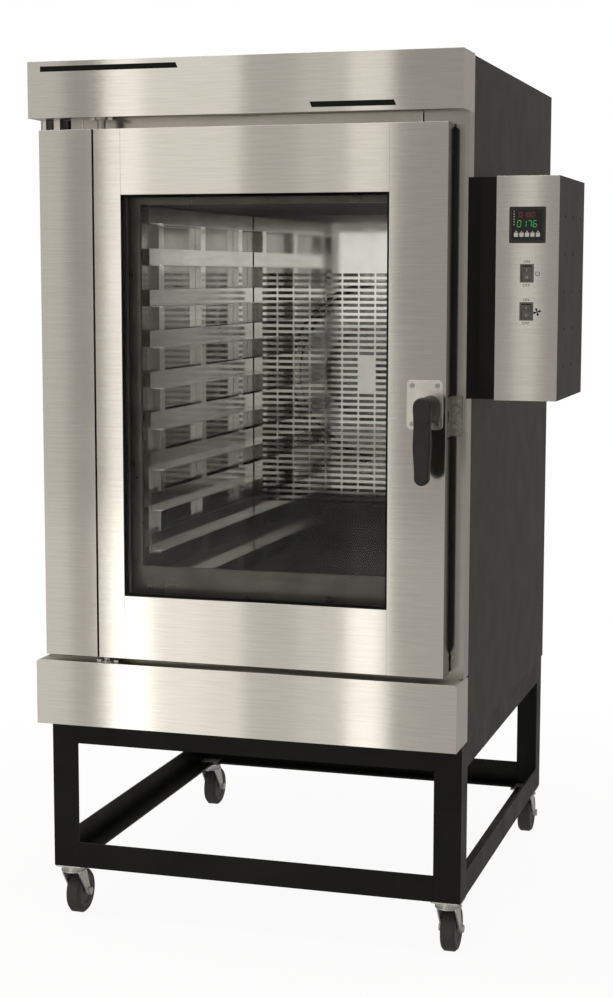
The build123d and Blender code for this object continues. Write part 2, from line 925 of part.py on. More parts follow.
# Hinge brackets on the flange, bored for the pins
with BuildPart() as hinge_brackets:
    for z in (fascia_top, upper_bracket_bottom):
        with BuildSketch(plan(z)):
            rectangle(pin_x - bracket_width / 2, pin_x + bracket_width / 2, pin_y, flange_face)
            with Locations((pin_x, pin_y)):
                Circle(bracket_nose)
                Circle(pin_radius + running_clearance, mode=Mode.SUBTRACT)
        extrude(amount=bracket_wall)
write_part(hinge_brackets, "hinge_brackets")

# Handle plate with rounded corners, drilled for its screws and the spindle
with BuildPart() as handle_plate:
    with BuildSketch(elevation(front)):
        with Locations((plate_x, plate_z)):
            RectangleRounded(handle_plate_width, handle_plate_height, handle_plate_corner)
            with GridLocations(screw_span_x, screw_span_z, 2, 2):
                Circle(handle_screw_radius + running_clearance, mode=Mode.SUBTRACT)
        with Locations((lever_x, spindle_z)):
            Circle(spindle_radius + seat_clearance, mode=Mode.SUBTRACT)
    extrude(amount=handle_plate_wall)
write_part(handle_plate, "handle_plate")

plate_face = front - handle_plate_wall
with BuildPart() as handle_screws:
    with BuildSketch(elevation(plate_face)):
        with Locations((plate_x, plate_z)):
            with GridLocations(screw_span_x, screw_span_z, 2, 2):
                Circle(handle_screw_head)
    extrude(amount=handle_screw_head_height)
    with BuildSketch(elevation(plate_face + handle_screw_length)):
        with Locations((plate_x, plate_z)):
            with GridLocations(screw_span_x, screw_span_z, 2, 2):
                Circle(handle_screw_radius)
    extrude(amount=handle_screw_length)
write_part(handle_screws, "handle_screws")

# Lever: a tapered neck, a waisted grip with a round tip, and its spindle
lever_back = front - handle_reach + lever_wall
lever_bottom = lever_top - lever_length
head_radius = lever_head_width / 2
tip_radius = lever_tip_width / 2
with BuildPart() as handle_lever:
    with BuildSketch(elevation(lever_back)):
        with BuildLine() as outline:
            head = CenterArc((lever_x, lever_top - head_radius), head_radius, 0, 180)
            tip = CenterArc((lever_x, lever_bottom + tip_radius), tip_radius, 180, 180)
            for way, from_head, to_tip in ((-1, head @ 1, tip @ 0), (1, head @ 0, tip @ 1)):
                waist = (lever_x + way * lever_waist_width / 2, lever_top - lever_waist_drop)
                grip = (lever_x + way * lever_grip_width / 2, lever_top - lever_grip_drop)
                Spline(from_head, waist, grip, to_tip, tangents=((0, -1), (0, -1)))
        make_face()
    extrude(amount=lever_wall)
    front_rim = handle_lever.faces().sort_by(Axis.Y)[0].edges()
    fillet(front_rim, radius=lever_rim)
    with BuildSketch(elevation(plate_face - seat_clearance)):
        with Locations((lever_x, spindle_z)):
            SlotOverall(neck_length, neck_base_width, rotation=90)
    with BuildSketch(elevation(lever_back)):
        with Locations((lever_x, spindle_z)):
            SlotOverall(neck_length - neck_taper, lever_head_width - neck_taper, rotation=90)
    loft()
    with BuildSketch(elevation(plate_face - seat_clearance)):
        with Locations((lever_x, spindle_z)):
            Circle(spindle_radius)
    extrude(amount=-(handle_plate_wall + seat_clearance + latch_wall))
write_part(handle_lever, "handle_lever")

# Lock case behind the handle plate, bored for the spindle, screws and bolt
latch_tip = keeper_nose - latch_clearance
latch_y = front + handle_plate_wall + latch_wall + latch_setback
latch_z = keeper_base + keeper_height / 2
case_face = front + skin
case_end = latch_tip - latch_length - latch_travel
with BuildPart() as lock_case:
    with BuildSketch(elevation(case_face)):
        rectangle(
            case_end - skin,
            keeper_nose - lock_case_setback,
            latch_z - latch_height / 2 - lock_case_margin / 2,
            spindle_z + lock_case_margin,
        )
        with Locations((lever_x, spindle_z)):
            Circle(spindle_radius + latch_fit, mode=Mode.SUBTRACT)
        with Locations((plate_x, plate_z)):
            with GridLocations(screw_span_x, screw_span_z, 2, 2):
                Circle(handle_screw_radius + running_clearance, mode=Mode.SUBTRACT)
    extrude(amount=-lock_case_depth)
    with BuildSketch(elevation(latch_y + latch_wall + latch_fit)):
        rectangle(
            case_end,
            keeper_nose,
            latch_z - latch_height / 2 - latch_fit,
            latch_z + latch_height / 2 + latch_fit,
        )
    extrude(amount=latch_wall + 2 * latch_fit, mode=Mode.SUBTRACT)
write_part(lock_case, "lock_case")

# Latch bolt in the lock case; its tip stops just short of the keeper
with BuildPart() as latch_bolt:
    with BuildSketch(elevation(latch_y + latch_wall)):
        rectangle(
            latch_tip - latch_length,
            latch_tip,
            latch_z - latch_height / 2,
            latch_z + latch_height / 2,
        )
    extrude(amount=latch_wall)
    chamfer(latch_bolt.faces().sort_by(Axis.X)[-1].edges().filter_by(Axis.Z), length=latch_tip_chamfer)
write_part(latch_bolt, "latch_bolt")

# Keeper: a base on the flange and a nose that reaches forward into the notch
with BuildPart() as keeper:
    with BuildSketch(elevation(flange_face)):
        rectangle(
            keeper_nose,
            keeper_nose + keeper_flange_width,
            keeper_base,
            keeper_base + keeper_height,
        )
    extrude(amount=keeper_wall)
    with BuildSketch(elevation(flange_face - keeper_wall)):
        rectangle(
            keeper_nose,
            keeper_nose + keeper_nose_wall,
            keeper_base,
            keeper_base + keeper_height,
        )
    extrude(amount=keeper_reach - keeper_wall)
    with BuildSketch(side(keeper_nose)):
        with Locations((latch_y + latch_wall / 2, latch_z)):
            Rectangle(latch_wall + keeper_port_margin, latch_height + 2 * keeper_port_margin)
    extrude(amount=keeper_nose_wall, mode=Mode.SUBTRACT)
    fillet(keeper.edges().filter_by(Axis.X).group_by(Axis.Y)[0], radius=keeper_corner)
write_part(keeper, "keeper")

# Duct between the cabinet and the control box, its face folded to a shallow V
control_left = right + duct_width
control_right = control_left + control_width
control_front_y = front + control_face
control_back = control_front_y + control_depth
control_top = control_base + control_height
duct_y = front + duct_face


def duct_outline(inset):
    """The duct seen from above, shrunk by the sheet's thickness."""
    Polygon(
        (right, duct_y + inset),
        (right + duct_fold_place, duct_y + duct_fold_depth + inset),
        (control_left, duct_y + inset),
        (control_left, control_back - inset),
        (right, control_back - inset),
        align=None,
    )


with BuildPart() as control_duct:
    with BuildSketch(plan(control_base)):
        duct_outline(0)
    extrude(amount=control_height)
    with BuildSketch(plan(control_base + skin)):
        duct_outline(skin)
    extrude(amount=control_height - 2 * skin, mode=Mode.SUBTRACT)
write_part(control_duct, "control_duct")

# Control box, open in front, with vent holes in its outer side
gland_z = control_base + gland_rise
gland_sleeve_radius = (gland_radius + gland_bore) / 2
with BuildPart() as control_box:
    with BuildSketch(elevation(control_back)):
        rectangle(control_left, control_right, control_base, control_top)
    extrude(amount=control_depth - skin)
    offset(amount=-skin, openings=control_box.faces().sort_by(Axis.Y)[0])
    with BuildSketch(side(control_right - skin)):
        with Locations((
            control_front_y + vent_first_y + vent_pitch_y,
            control_base + vent_first_z + (vent_rows - 1) * vent_pitch_z / 2,
        )):
            with GridLocations(vent_pitch_y, vent_pitch_z, vent_columns, vent_rows):
                Circle(vent_radius)
    extrude(amount=skin, mode=Mode.SUBTRACT)
    with BuildSketch(elevation(control_back)):
        with Locations(((control_left + control_right) / 2, gland_z)):
            Circle(gland_sleeve_radius + running_clearance)
    extrude(amount=skin, mode=Mode.SUBTRACT)
write_part(control_box, "control_box")

# Control panel: a stainless plate cut out for the controller and the rockers
control_x = (control_left + control_right) / 2
controller_z = controller_base + bezel_size / 2
rocker_cut_width = rocker_frame_width - rocker_frame_lip
rocker_cut_height = rocker_frame_height - rocker_frame_lip
panel_back = control_front_y + skin
with BuildPart() as control_front:
    with BuildSketch(elevation(panel_back)):
        rectangle(control_left, control_right, control_base, control_top)
        with Locations((control_x, controller_z)):
            Rectangle(controller_body, controller_body, mode=Mode.SUBTRACT)
        for z in rocker_heights:
            with Locations((control_x, z)):
                Rectangle(rocker_cut_width, rocker_cut_height, mode=Mode.SUBTRACT)
    extrude(amount=skin)
write_part(control_front, "control_front")

# Temperature controller: bezel, recessed screen and body behind the panel
bezel_face = control_front_y - bezel_proud
screen_face = bezel_face + screen_recess
key_places = [control_x + (n - (key_count - 1) / 2) * key_pitch for n in range(key_count)]
key_depth = bezel_proud - screen_recess - key_floor
key_port = key_size + 2 * key_clearance
with BuildPart() as controller:
    with BuildSketch(elevation(control_front_y)):
        with Locations((control_x, controller_z)):
            RectangleRounded(bezel_size, bezel_size, bezel_corner)
    extrude(amount=bezel_proud)
    with BuildSketch(elevation(screen_face)):
        with Locations((control_x, controller_z)):
            Rectangle(screen_size, screen_size)
    extrude(amount=screen_recess, mode=Mode.SUBTRACT)
    with BuildSketch(elevation(screen_face + key_depth)):
        for x in key_places:
            with Locations((x, key_height)):
                Rectangle(key_port, key_port)
    extrude(amount=key_depth, mode=Mode.SUBTRACT)
    with BuildSketch(elevation(control_front_y + controller_depth)):
        with Locations((control_x, controller_z)):
            Rectangle(controller_body - 2 * running_clearance, controller_body - 2 * running_clearance)
    extrude(amount=controller_depth)
write_part(controller, "controller")

key_names = ("menu_key", "back_key", "down_key", "up_key", "set_key")
for key_name, x in zip(key_names, key_places):
    with BuildPart() as key:
        with BuildSketch(elevation(screen_face + key_depth - key_travel)):
            with Locations((x, key_height)):
                RectangleRounded(key_size, key_size, key_corner)
        extrude(amount=key_depth - key_travel + key_proud)
    write_part(key, key_name)

# Rocker frames: a rim on the panel and a snap-in box behind it
rocker_mouth_width = rocker_cut_width - 2 * skin
rocker_mouth_height = rocker_cut_height - 2 * skin
rocker_body_width = rocker_cut_width - 2 * running_clearance
rocker_body_height = rocker_cut_height - 2 * running_clearance
with BuildPart() as rocker_frames:
    for z in rocker_heights:
        with BuildSketch(elevation(control_front_y)):
            with Locations((control_x, z)):
                RectangleRounded(rocker_frame_width, rocker_frame_height, rocker_frame_corner)
        extrude(amount=rocker_frame_proud)
        with BuildSketch(elevation(control_front_y + rocker_body_depth)):
            with Locations((control_x, z)):
                Rectangle(rocker_body_width, rocker_body_height)
        extrude(amount=rocker_body_depth)
        with BuildSketch(elevation(control_front_y + rocker_body_depth - skin)):
            with Locations((control_x, z)):
                Rectangle(rocker_mouth_width, rocker_mouth_height)
        extrude(amount=rocker_body_depth - skin + rocker_frame_proud, mode=Mode.SUBTRACT)
write_part(rocker_frames, "rocker_frames")

# Rockers: dished faces on a rounded body, at rest with the lower end pressed in
rocker_width = rocker_mouth_width - 2 * rocker_clearance
rocker_reach = rocker_mouth_height / 2 - rocker_end_clearance
rocker_rim = -rocker_pivot_depth - rocker_frame_proud
rocker_y = control_front_y + rocker_pivot_depth
for rocker_name, z in zip(("power_rocker", "fan_rocker"), rocker_heights):
    tilted = Plane(
        origin=(control_x - rocker_width / 2, rocker_y, z),
        x_dir=(0, math.cos(math.radians(rocker_tilt)), math.sin(math.radians(rocker_tilt))),
        z_dir=(1, 0, 0),
    )
    with BuildPart() as rocker:
        with BuildSketch(tilted):
            with BuildLine():
                Polyline(
                    (0, rocker_reach),
                    (rocker_rim, rocker_reach),
                    (rocker_rim + rocker_dish, 0),
                    (rocker_rim, -rocker_reach),
                    (0, -rocker_reach),
                )
                ThreePointArc((0, -rocker_reach), (rocker_belly, 0), (0, rocker_reach))
            make_face()
        extrude(amount=rocker_width)
    write_part(rocker, rocker_name)

# Cable gland in the back of the control box, with an open bore for a lead
with BuildPart() as cable_gland:
    with BuildSketch(elevation(control_back)):
        with Locations((control_x, gland_z)):
            RegularPolygon(gland_radius, 6)
    extrude(amount=-gland_nut_height)
    with BuildSketch(elevation(control_back + gland_nut_height)):
        with Locations((control_x, gland_z)):
            Circle(gland_radius - gland_step)
    extrude(amount=-(gland_length - gland_nut_height))
    chamfer(cable_gland.faces().sort_by(Axis.Y)[-1].edges(), length=gland_step)
    with BuildSketch(elevation(control_back)):
        with Locations((control_x, gland_z)):
            Circle(gland_sleeve_radius)
    extrude(amount=skin + gland_lip)
    with BuildSketch(elevation(control_back - skin - gland_lip)):
        with Locations((control_x, gland_z)):
            Circle(gland_bore)
    extrude(amount=-(gland_length + skin + gland_lip), mode=Mode.SUBTRACT)
write_part(cable_gland, "cable_gland")
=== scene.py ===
import math
import bpy
from mathutils import Matrix, Vector


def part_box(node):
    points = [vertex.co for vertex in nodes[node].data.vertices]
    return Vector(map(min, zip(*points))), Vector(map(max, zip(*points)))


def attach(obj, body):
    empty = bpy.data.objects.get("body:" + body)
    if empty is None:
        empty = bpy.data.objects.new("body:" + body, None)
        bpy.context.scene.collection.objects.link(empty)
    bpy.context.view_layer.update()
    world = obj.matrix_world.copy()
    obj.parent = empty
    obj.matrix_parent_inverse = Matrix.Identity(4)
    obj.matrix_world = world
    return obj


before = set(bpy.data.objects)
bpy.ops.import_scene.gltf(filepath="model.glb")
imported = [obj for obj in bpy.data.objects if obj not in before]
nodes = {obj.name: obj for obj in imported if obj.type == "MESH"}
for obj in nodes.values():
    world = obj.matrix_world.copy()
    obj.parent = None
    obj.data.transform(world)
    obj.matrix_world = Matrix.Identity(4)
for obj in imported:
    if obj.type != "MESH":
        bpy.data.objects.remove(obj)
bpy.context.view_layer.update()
scene = bpy.context.scene
scene.view_settings.view_transform = "Standard"
mm = 0.001
print("frame loaded:", len(nodes), "CAD nodes")


def toLinear(hexColour):
    channels = [int(hexColour[k:k + 2], 16) / 255 for k in (1, 3, 5)]
    linear = [c / 12.92 if c <= 0.04045 else ((c + 0.055) / 1.055) ** 2.4 for c in channels]
    return (*linear, 1.0)


def addNode(tree, kind, inputs=None, **settings):    # an input is a value, or the socket that feeds it
    node = tree.nodes.new(kind)
    for key, value in settings.items():
        setattr(node, key, value)
    for key, value in (inputs or {}).items():
        if isinstance(value, bpy.types.NodeSocket):
            tree.links.new(value, node.inputs[key])
        else:
            node.inputs[key].default_value = value
    return node


def startMaterial(name):
    material = bpy.data.materials.new(name)
    material.use_nodes = True
    material.node_tree.nodes.clear()
    return material, material.node_tree


def patternAt(tree, pitch, centre=(0, 0, 0)):    # pitch: the pattern's size in mm along x, y and z
    scale = [1 / (p * mm) for p in pitch]
    place = addNode(tree, "ShaderNodeTexCoord")
    shift = [-c * mm * s for c, s in zip(centre, scale)]
    spot = addNode(tree, "ShaderNodeMapping",
                   {"Vector": place.outputs["Object"], "Location": shift, "Scale": scale})
    return spot.outputs["Vector"]


middleBand = (0.3, 0.7)    # most of a noise's values lie between these


def mottle(tree, pitch, detail, rough, *ranges):
    # A noise of that pitch, and the same noise spread over each range: low, high and, if given, its band.
    noise = addNode(tree, "ShaderNodeTexNoise", {"Vector": patternAt(tree, pitch), "Scale": 1.0,
                                                 "Detail": detail, "Roughness": rough})
    results = [noise.outputs["Fac"]]
    for span in ranges:
        low, high, fromLow, fromHigh = (*span, *middleBand)[:4]
        spread = addNode(tree, "ShaderNodeMapRange", {"Value": noise.outputs["Fac"], "From Min": fromLow,
                                                      "From Max": fromHigh, "To Min": low, "To Max": high})
        results.append(spread.outputs["Result"])
    return results


def bumpFrom(tree, height, depth, edge=0.0):    # depth in mm; edge is the worn corner's radius in mm
    inputs = {"Strength": 1.0, "Distance": depth * mm, "Height": height}
    if edge:
        worn = addNode(tree, "ShaderNodeBevel", {"Radius": edge * mm}, samples=4)
        inputs["Normal"] = worn.outputs["Normal"]
    return addNode(tree, "ShaderNodeBump", inputs).outputs["Normal"]


# Stainless 304 sheet, belt-brushed along the sheet: reflections stretch across the grain and stay crisp
# along it. Real brush lines are about 0.1 mm wide, too fine to show, so they are drawn 1.3 and 3 mm wide.
# Hands leave smudges a palm's width apart, and folded returns keep the dull mill finish.
brushedSheet = {
    "light": "#DEDCD5", "dark": "#D2CFC7", "roughness": 0.085, "smudge": 0.115, "anisotropy": 0.9,
    "grain": (110, 3.0, 3.0), "fineGrain": (16, 1.3, 1.3), "depth": 0.006, "fineDepth": 0.010, "edge": 0.9,
    "handPitch": (140, 140, 180), "returnRoughness": 0.36, "returnTurn": (0.4, 0.6), "grainTurn": 0.25,
}


def makeBrushedSteel(name, look):
    material, tree = startMaterial(name)
    coarse, tone = mottle(tree, look["grain"], 3.0, 0.7, (0, 1, 0.25, 0.75))
    fine = mottle(tree, look["fineGrain"], 2.0, 0.6)[0]
    faceRough = mottle(tree, look["handPitch"], 2.0, 0.5, (look["roughness"], look["smudge"], 0.35, 0.75))[1]
    colour = addNode(tree, "ShaderNodeMix",
                     {0: tone, 6: toLinear(look["light"]), 7: toLinear(look["dark"])}, data_type="RGBA")
    shape = addNode(tree, "ShaderNodeNewGeometry")
    turn = addNode(tree, "ShaderNodeSeparateXYZ", {"Vector": shape.outputs["True Normal"]})
    forward = addNode(tree, "ShaderNodeMath", {0: turn.outputs["Y"]}, operation="ABSOLUTE")
    turnLow, turnHigh = look["returnTurn"]
    onFace = addNode(tree, "ShaderNodeMapRange",
                     {"Value": forward.outputs[0], "From Min": turnLow, "From Max": turnHigh})
    rough = addNode(tree, "ShaderNodeMix", {0: onFace.outputs["Result"], 2: look["returnRoughness"],
                                            3: faceRough}, data_type="FLOAT")
    normal = bumpFrom(tree, coarse, look["depth"], look["edge"])
    grain = addNode(tree, "ShaderNodeBump", {"Strength": 1.0, "Distance": look["fineDepth"] * mm,
                                             "Height": fine, "Normal": normal})
    around = addNode(tree, "ShaderNodeTangent", direction_type="RADIAL", axis="Z")
    steel = addNode(tree, "ShaderNodeBsdfPrincipled", {
        "Base Color": colour.outputs[2], "Metallic": 1.0, "Roughness": rough.outputs[0],
        "Anisotropic": look["anisotropy"], "Anisotropic Rotation": look["grainTurn"],
        "Normal": grain.outputs["Normal"], "Tangent": around.outputs["Tangent"],
    })
    addNode(tree, "ShaderNodeOutputMaterial", {"Surface": steel.outputs["BSDF"]})
    return material


# Bare and plated metals without a brushed grain. Pitch, depth and edge are in mm.
plainMetals = {
    "brightAnnealedLiner": {"light": "#A8A6A2", "dark": "#85837F", "roughness": (0.07, 0.12),
                            "pitch": (120, 120, 120), "depth": 0.12, "edge": 0.0,
                            "paintedShade": {"floor": (678, 690), "ceiling": (1596, 1606), "colour": "#2A2826",
                                     "roughness": 0.8}},    # a mirror, painted dark and matt near floor and ceiling as painted shade, heights in mm
    "doorLinerPaintedShade": {"light": "#65625C", "dark": "#4F4C48", "roughness": (0.26, 0.36),
                       "pitch": (60, 60, 60), "depth": 0.05, "edge": 0.6},    # pressed sheet, painted dark as the shade inside the door
    "punchedGuard": {"light": "#D2D1CE", "dark": "#C3C2BF", "roughness": (0.05, 0.09),
                     "pitch": (140, 140, 140), "depth": 0.05, "edge": 0.0},    # punched from mirror sheet
    "rackSteel": {"light": "#E9E8E4", "dark": "#D8D7D3", "roughness": (0.12, 0.20),
                  "pitch": (60, 90, 8), "depth": 0.05, "edge": 0.6},    # bright strip, streaked lengthwise
    "millGreyAndShade304": {"light": "#B1AEA6", "dark": "#ABA8A0", "roughness": (0.22, 0.25),
                      "pitch": (160, 60, 60), "depth": 0.004, "edge": 0.0},    # cold-rolled grey, made darker in part as painted shade from the hood
    "polishedChrome": {"light": "#F0EDE6", "dark": "#E2DFD7", "roughness": (0.20, 0.26), "metallic": 0.85,
                       "pitch": (30, 30, 30), "depth": 0.01, "edge": 0.5},    # buffed: a soft, warm mirror
    "castKeeper": {"light": "#B4B2AC", "dark": "#85837D", "roughness": (0.28, 0.42), "metallic": 0.9,
                   "pitch": (9, 9, 9), "depth": 0.12, "edge": 0.8},    # sand-cast, tumbled: dull and pitted
    "zincPlate": {"light": "#E4E4E0", "dark": "#C2C2BE", "roughness": (0.24, 0.36), "metallic": 0.6,
                  "pitch": (7, 7, 7), "depth": 0.03, "edge": 0.6},    # passivated: a milky coat
    "galvanisedSheet": {"light": "#BFC2C4", "dark": "#9CA0A3", "roughness": (0.34, 0.52),
                        "pitch": (12, 12, 12), "depth": 0.02, "edge": 0.8, "spangle": True},    # hot-dipped
    "machinedSteel": {"light": "#C4C2BD", "dark": "#9F9C96", "roughness": (0.22, 0.34),
                      "pitch": (30, 30, 0.8), "depth": 0.01, "edge": 0.4},    # turned: fine rings
}
wipePitch = (45, 45, 45)    # patches left by wiping a bare metal


def makePlainMetal(name, look):
    material, tree = startMaterial(name)
    if look.get("spangle"):    # zinc crystals, each with its own shade
        cells = addNode(tree, "ShaderNodeTexVoronoi",
                        {"Vector": patternAt(tree, look["pitch"]), "Scale": 1.0})
        shade = addNode(tree, "ShaderNodeSeparateColor", {"Color": cells.outputs["Color"]})
        tone = shade.outputs[0]
        factor = tone
    else:
        tone, factor = mottle(tree, look["pitch"], 3.0, 0.6, (0, 1))
    colour = addNode(tree, "ShaderNodeMix",
                     {0: factor, 6: toLinear(look["light"]), 7: toLinear(look["dark"])}, data_type="RGBA")
    rough = mottle(tree, wipePitch, 3.0, 0.5, look["roughness"])[1]
    metallic = look.get("metallic", 1.0)
    # Painted shade: below the floor band and above the ceiling band the liner turns dark, matt and
    # non-metallic, standing for the shade that falls there.
    if "paintedShade" in look:
        paintedShade = look["paintedShade"]
        height = addNode(tree, "ShaderNodeSeparateXYZ", {"Vector": patternAt(tree, (1, 1, 1))}).outputs["Z"]
        low, high = paintedShade["floor"]
        below = addNode(tree, "ShaderNodeMapRange",
                        {"Value": height, "From Min": low, "From Max": high, "To Min": 1.0, "To Max": 0.0})
        low, high = paintedShade["ceiling"]
        above = addNode(tree, "ShaderNodeMapRange", {"Value": height, "From Min": low, "From Max": high})
        inShade = addNode(tree, "ShaderNodeMath", {0: below.outputs["Result"], 1: above.outputs["Result"]},
                         operation="MAXIMUM").outputs[0]
        colour = addNode(tree, "ShaderNodeMix",
                         {0: inShade, 6: colour.outputs[2], 7: toLinear(paintedShade["colour"])}, data_type="RGBA")
        rough = addNode(tree, "ShaderNodeMix", {0: inShade, 2: rough, 3: paintedShade["roughness"]},
                        data_type="FLOAT").outputs[0]
        metallic = addNode(tree, "ShaderNodeMath", {0: 1.0, 1: inShade}, operation="SUBTRACT").outputs[0]
    metal = addNode(tree, "ShaderNodeBsdfPrincipled", {
        "Base Color": colour.outputs[2], "Metallic": metallic, "Roughness": rough,
        "Normal": bumpFrom(tree, tone, look["depth"], look["edge"]),
    })
    addNode(tree, "ShaderNodeOutputMaterial", {"Surface": metal.outputs["BSDF"]})
    return material


# Paints, plastics, rubbers, prints, fibre and painted shade: a mottled colour, a surface texture and a soft
# shine.
# Moulded grain and ink are finer than a render shows, so their textures are drawn 0.7 mm wide or more.
softFinishes = {
    "brownPowderCoat": {"light": "#2C2925", "dark": "#292623", "roughness": (0.46, 0.50), "ior": 1.33,
                        "pitch": (2.6, 2.6, 2.6), "depth": 0.06, "edge": 1.0},    # orange peel 2.6 mm apart
    "blackPowderCoat": {"light": "#0F0F0F", "dark": "#0B0B0B", "roughness": (0.40, 0.50), "ior": 1.3,
                        "pitch": (2.6, 2.6, 2.6), "depth": 0.08, "edge": 1.4},    # baked on welded angle
    "motorEnamel": {"light": "#24292E", "dark": "#1B1F23", "roughness": (0.35, 0.5), "ior": 1.5,
                    "pitch": (4, 4, 4), "depth": 0.15, "edge": 0.8},    # dipped: thick and a little uneven
    "glassFilledNylon": {"light": "#2B2927", "dark": "#242220", "roughness": (0.46, 0.56), "ior": 1.45,
                         "pitch": (0.9, 0.9, 0.9), "depth": 0.03, "edge": 0.0},    # fine moulded grain
    "blackAbs": {"light": "#232220", "dark": "#191816", "roughness": (0.32, 0.45), "ior": 1.54,
                 "pitch": (0.7, 0.7, 0.7), "depth": 0.015, "edge": 0.3},    # moulded with a fine texture
    "rockerAbs": {"light": "#6A6863", "dark": "#5B5955", "roughness": (0.30, 0.42), "ior": 1.54,
                  "pitch": (0.7, 0.7, 0.7), "depth": 0.015, "edge": 0.3},    # moulded, a grey satin
    "keySilicone": {"light": "#D9D8D3", "dark": "#C6C4BE", "roughness": (0.45, 0.6), "ior": 1.43,
                    "pitch": (1.2, 1.2, 1.2), "depth": 0.02, "edge": 0.3},    # moulded, pale and matt
    "sealSilicone": {"light": "#141413", "dark": "#0B0B0B", "roughness": (0.5, 0.7), "ior": 1.43,
                     "pitch": (3, 3, 3), "depth": 0.05, "edge": 0.8},    # extruded, matt black
    "glazingRubber": {"light": "#1B1B1A", "dark": "#121212", "roughness": (0.55, 0.7), "ior": 1.5,
                      "pitch": (2, 2, 2), "depth": 0.05, "edge": 0.0},    # extruded, matt
    "mineralWool": {"light": "#C9B98A", "dark": "#A08F62", "roughness": (0.9, 1.0), "ior": 1.45,
                    "pitch": (25, 4, 4), "depth": 1.2, "edge": 0.0},    # loose fibres
    "oxidisedSheath": {"light": "#3A302B", "dark": "#241F1D", "roughness": (0.45, 0.65), "ior": 1.6,
                       "pitch": (12, 12, 12), "depth": 0.06, "edge": 0.0},    # steel browned by its own heat
    "blackPrint": {"light": "#040404", "dark": "#020202", "roughness": (0.55, 0.65), "ior": 1.3,
                   "pitch": (3, 3, 3), "depth": 0.005, "edge": 0.0},    # screen-printed, matt
    "shadedSteel": {"light": "#6E6C67", "dark": "#5D5B57", "roughness": (0.45, 0.6), "ior": 1.5,
                  "pitch": (5, 5, 5), "depth": 0.02, "edge": 0.0},    # painted shade: folded steel edges, darkened where the hood shades them
    "greyPrint": {"light": "#4A4844", "dark": "#3A3835", "roughness": (0.4, 0.5), "ior": 1.5,
                  "pitch": (2, 2, 2), "depth": 0.005, "edge": 0.0},    # screen-printed, faded
    "whitePrint": {"light": "#D5D4CF", "dark": "#BDBBB5", "roughness": (0.4, 0.5), "ior": 1.5,
                   "pitch": (2, 2, 2), "depth": 0.005, "edge": 0.0},    # pad-printed
    "gapShade": {"light": "#0E0D0C", "dark": "#080807", "roughness": (0.8, 0.95), "ior": 1.5,
                "pitch": (6, 6, 6), "depth": 0.02, "edge": 0.0},    # painted shade: the dark inside an open gap between two sheets
    "screenAcrylic": {"light": "#0B0C0B", "dark": "#070707", "roughness": (0.05, 0.12), "ior": 1.49,
                      "pitch": (8, 8, 8), "depth": 0.002, "edge": 0.0},    # the controller's glossy window
}
patchRatio = 30    # the colour's patches are this much wider than the texture


def makeSoftFinish(name, look):
    material, tree = startMaterial(name)
    tone = mottle(tree, look["pitch"], 2.0, 0.6)[0]
    patchPitch = [patchRatio * p for p in look["pitch"]]
    factor, rough = mottle(tree, patchPitch, 3.0, 0.5, (0, 1), look["roughness"])[1:]
    colour = addNode(tree, "ShaderNodeMix",
                     {0: factor, 6: toLinear(look["light"]), 7: toLinear(look["dark"])}, data_type="RGBA")
    solid = addNode(tree, "ShaderNodeBsdfPrincipled", {
        "Base Color": colour.outputs[2], "IOR": look["ior"], "Roughness": rough,
        "Normal": bumpFrom(tree, tone, look["depth"], look["edge"]),
    })
    addNode(tree, "ShaderNodeOutputMaterial", {"Surface": solid.outputs["BSDF"]})
    return material


# Toughened float glass with a coat against glare: it mirrors far less than plain glass, so its IOR is low.
# The streaks are left by a wiping cloth.
windowGlass = {"tint": "#ECECEA", "ior": 1.15, "roughness": (0.0, 0.015), "streak": (260, 260, 30)}


def makeGlass(name, look):
    material, tree = startMaterial(name)
    tint = toLinear(look["tint"])
    rough = mottle(tree, look["streak"], 2.0, 0.5, look["roughness"])[1]
    pane = addNode(tree, "ShaderNodeBsdfPrincipled",
                   {"Base Color": tint, "IOR": look["ior"], "Transmission Weight": 1.0, "Roughness": rough})
    clear = addNode(tree, "ShaderNodeBsdfTransparent", {"Color": tint})
    ray = addNode(tree, "ShaderNodeLightPath")
    both = addNode(tree, "ShaderNodeMixShader", {0: ray.outputs["Is Shadow Ray"], 1: pane.outputs["BSDF"],
                                                 2: clear.outputs["BSDF"]})
    addNode(tree, "ShaderNodeOutputMaterial", {"Surface": both.outputs["Shader"]})
    return material


# Solid rubber tyre on a grey polyamide hub, on one solid: the rubber starts at a set distance from the axle.
casterTyre = {"rubber": "#343433", "rubberWorn": "#454442", "hub": "#5A5A58", "shadedHubColour": "#3C3C3A",
              "hubRadius": 37.5, "blur": 0.3, "rimShade": 1.5, "roughness": (0.55, 0.75), "pitch": (4, 4, 4),
              "depth": 0.12, "edge": 0.8, "ior": 1.5}


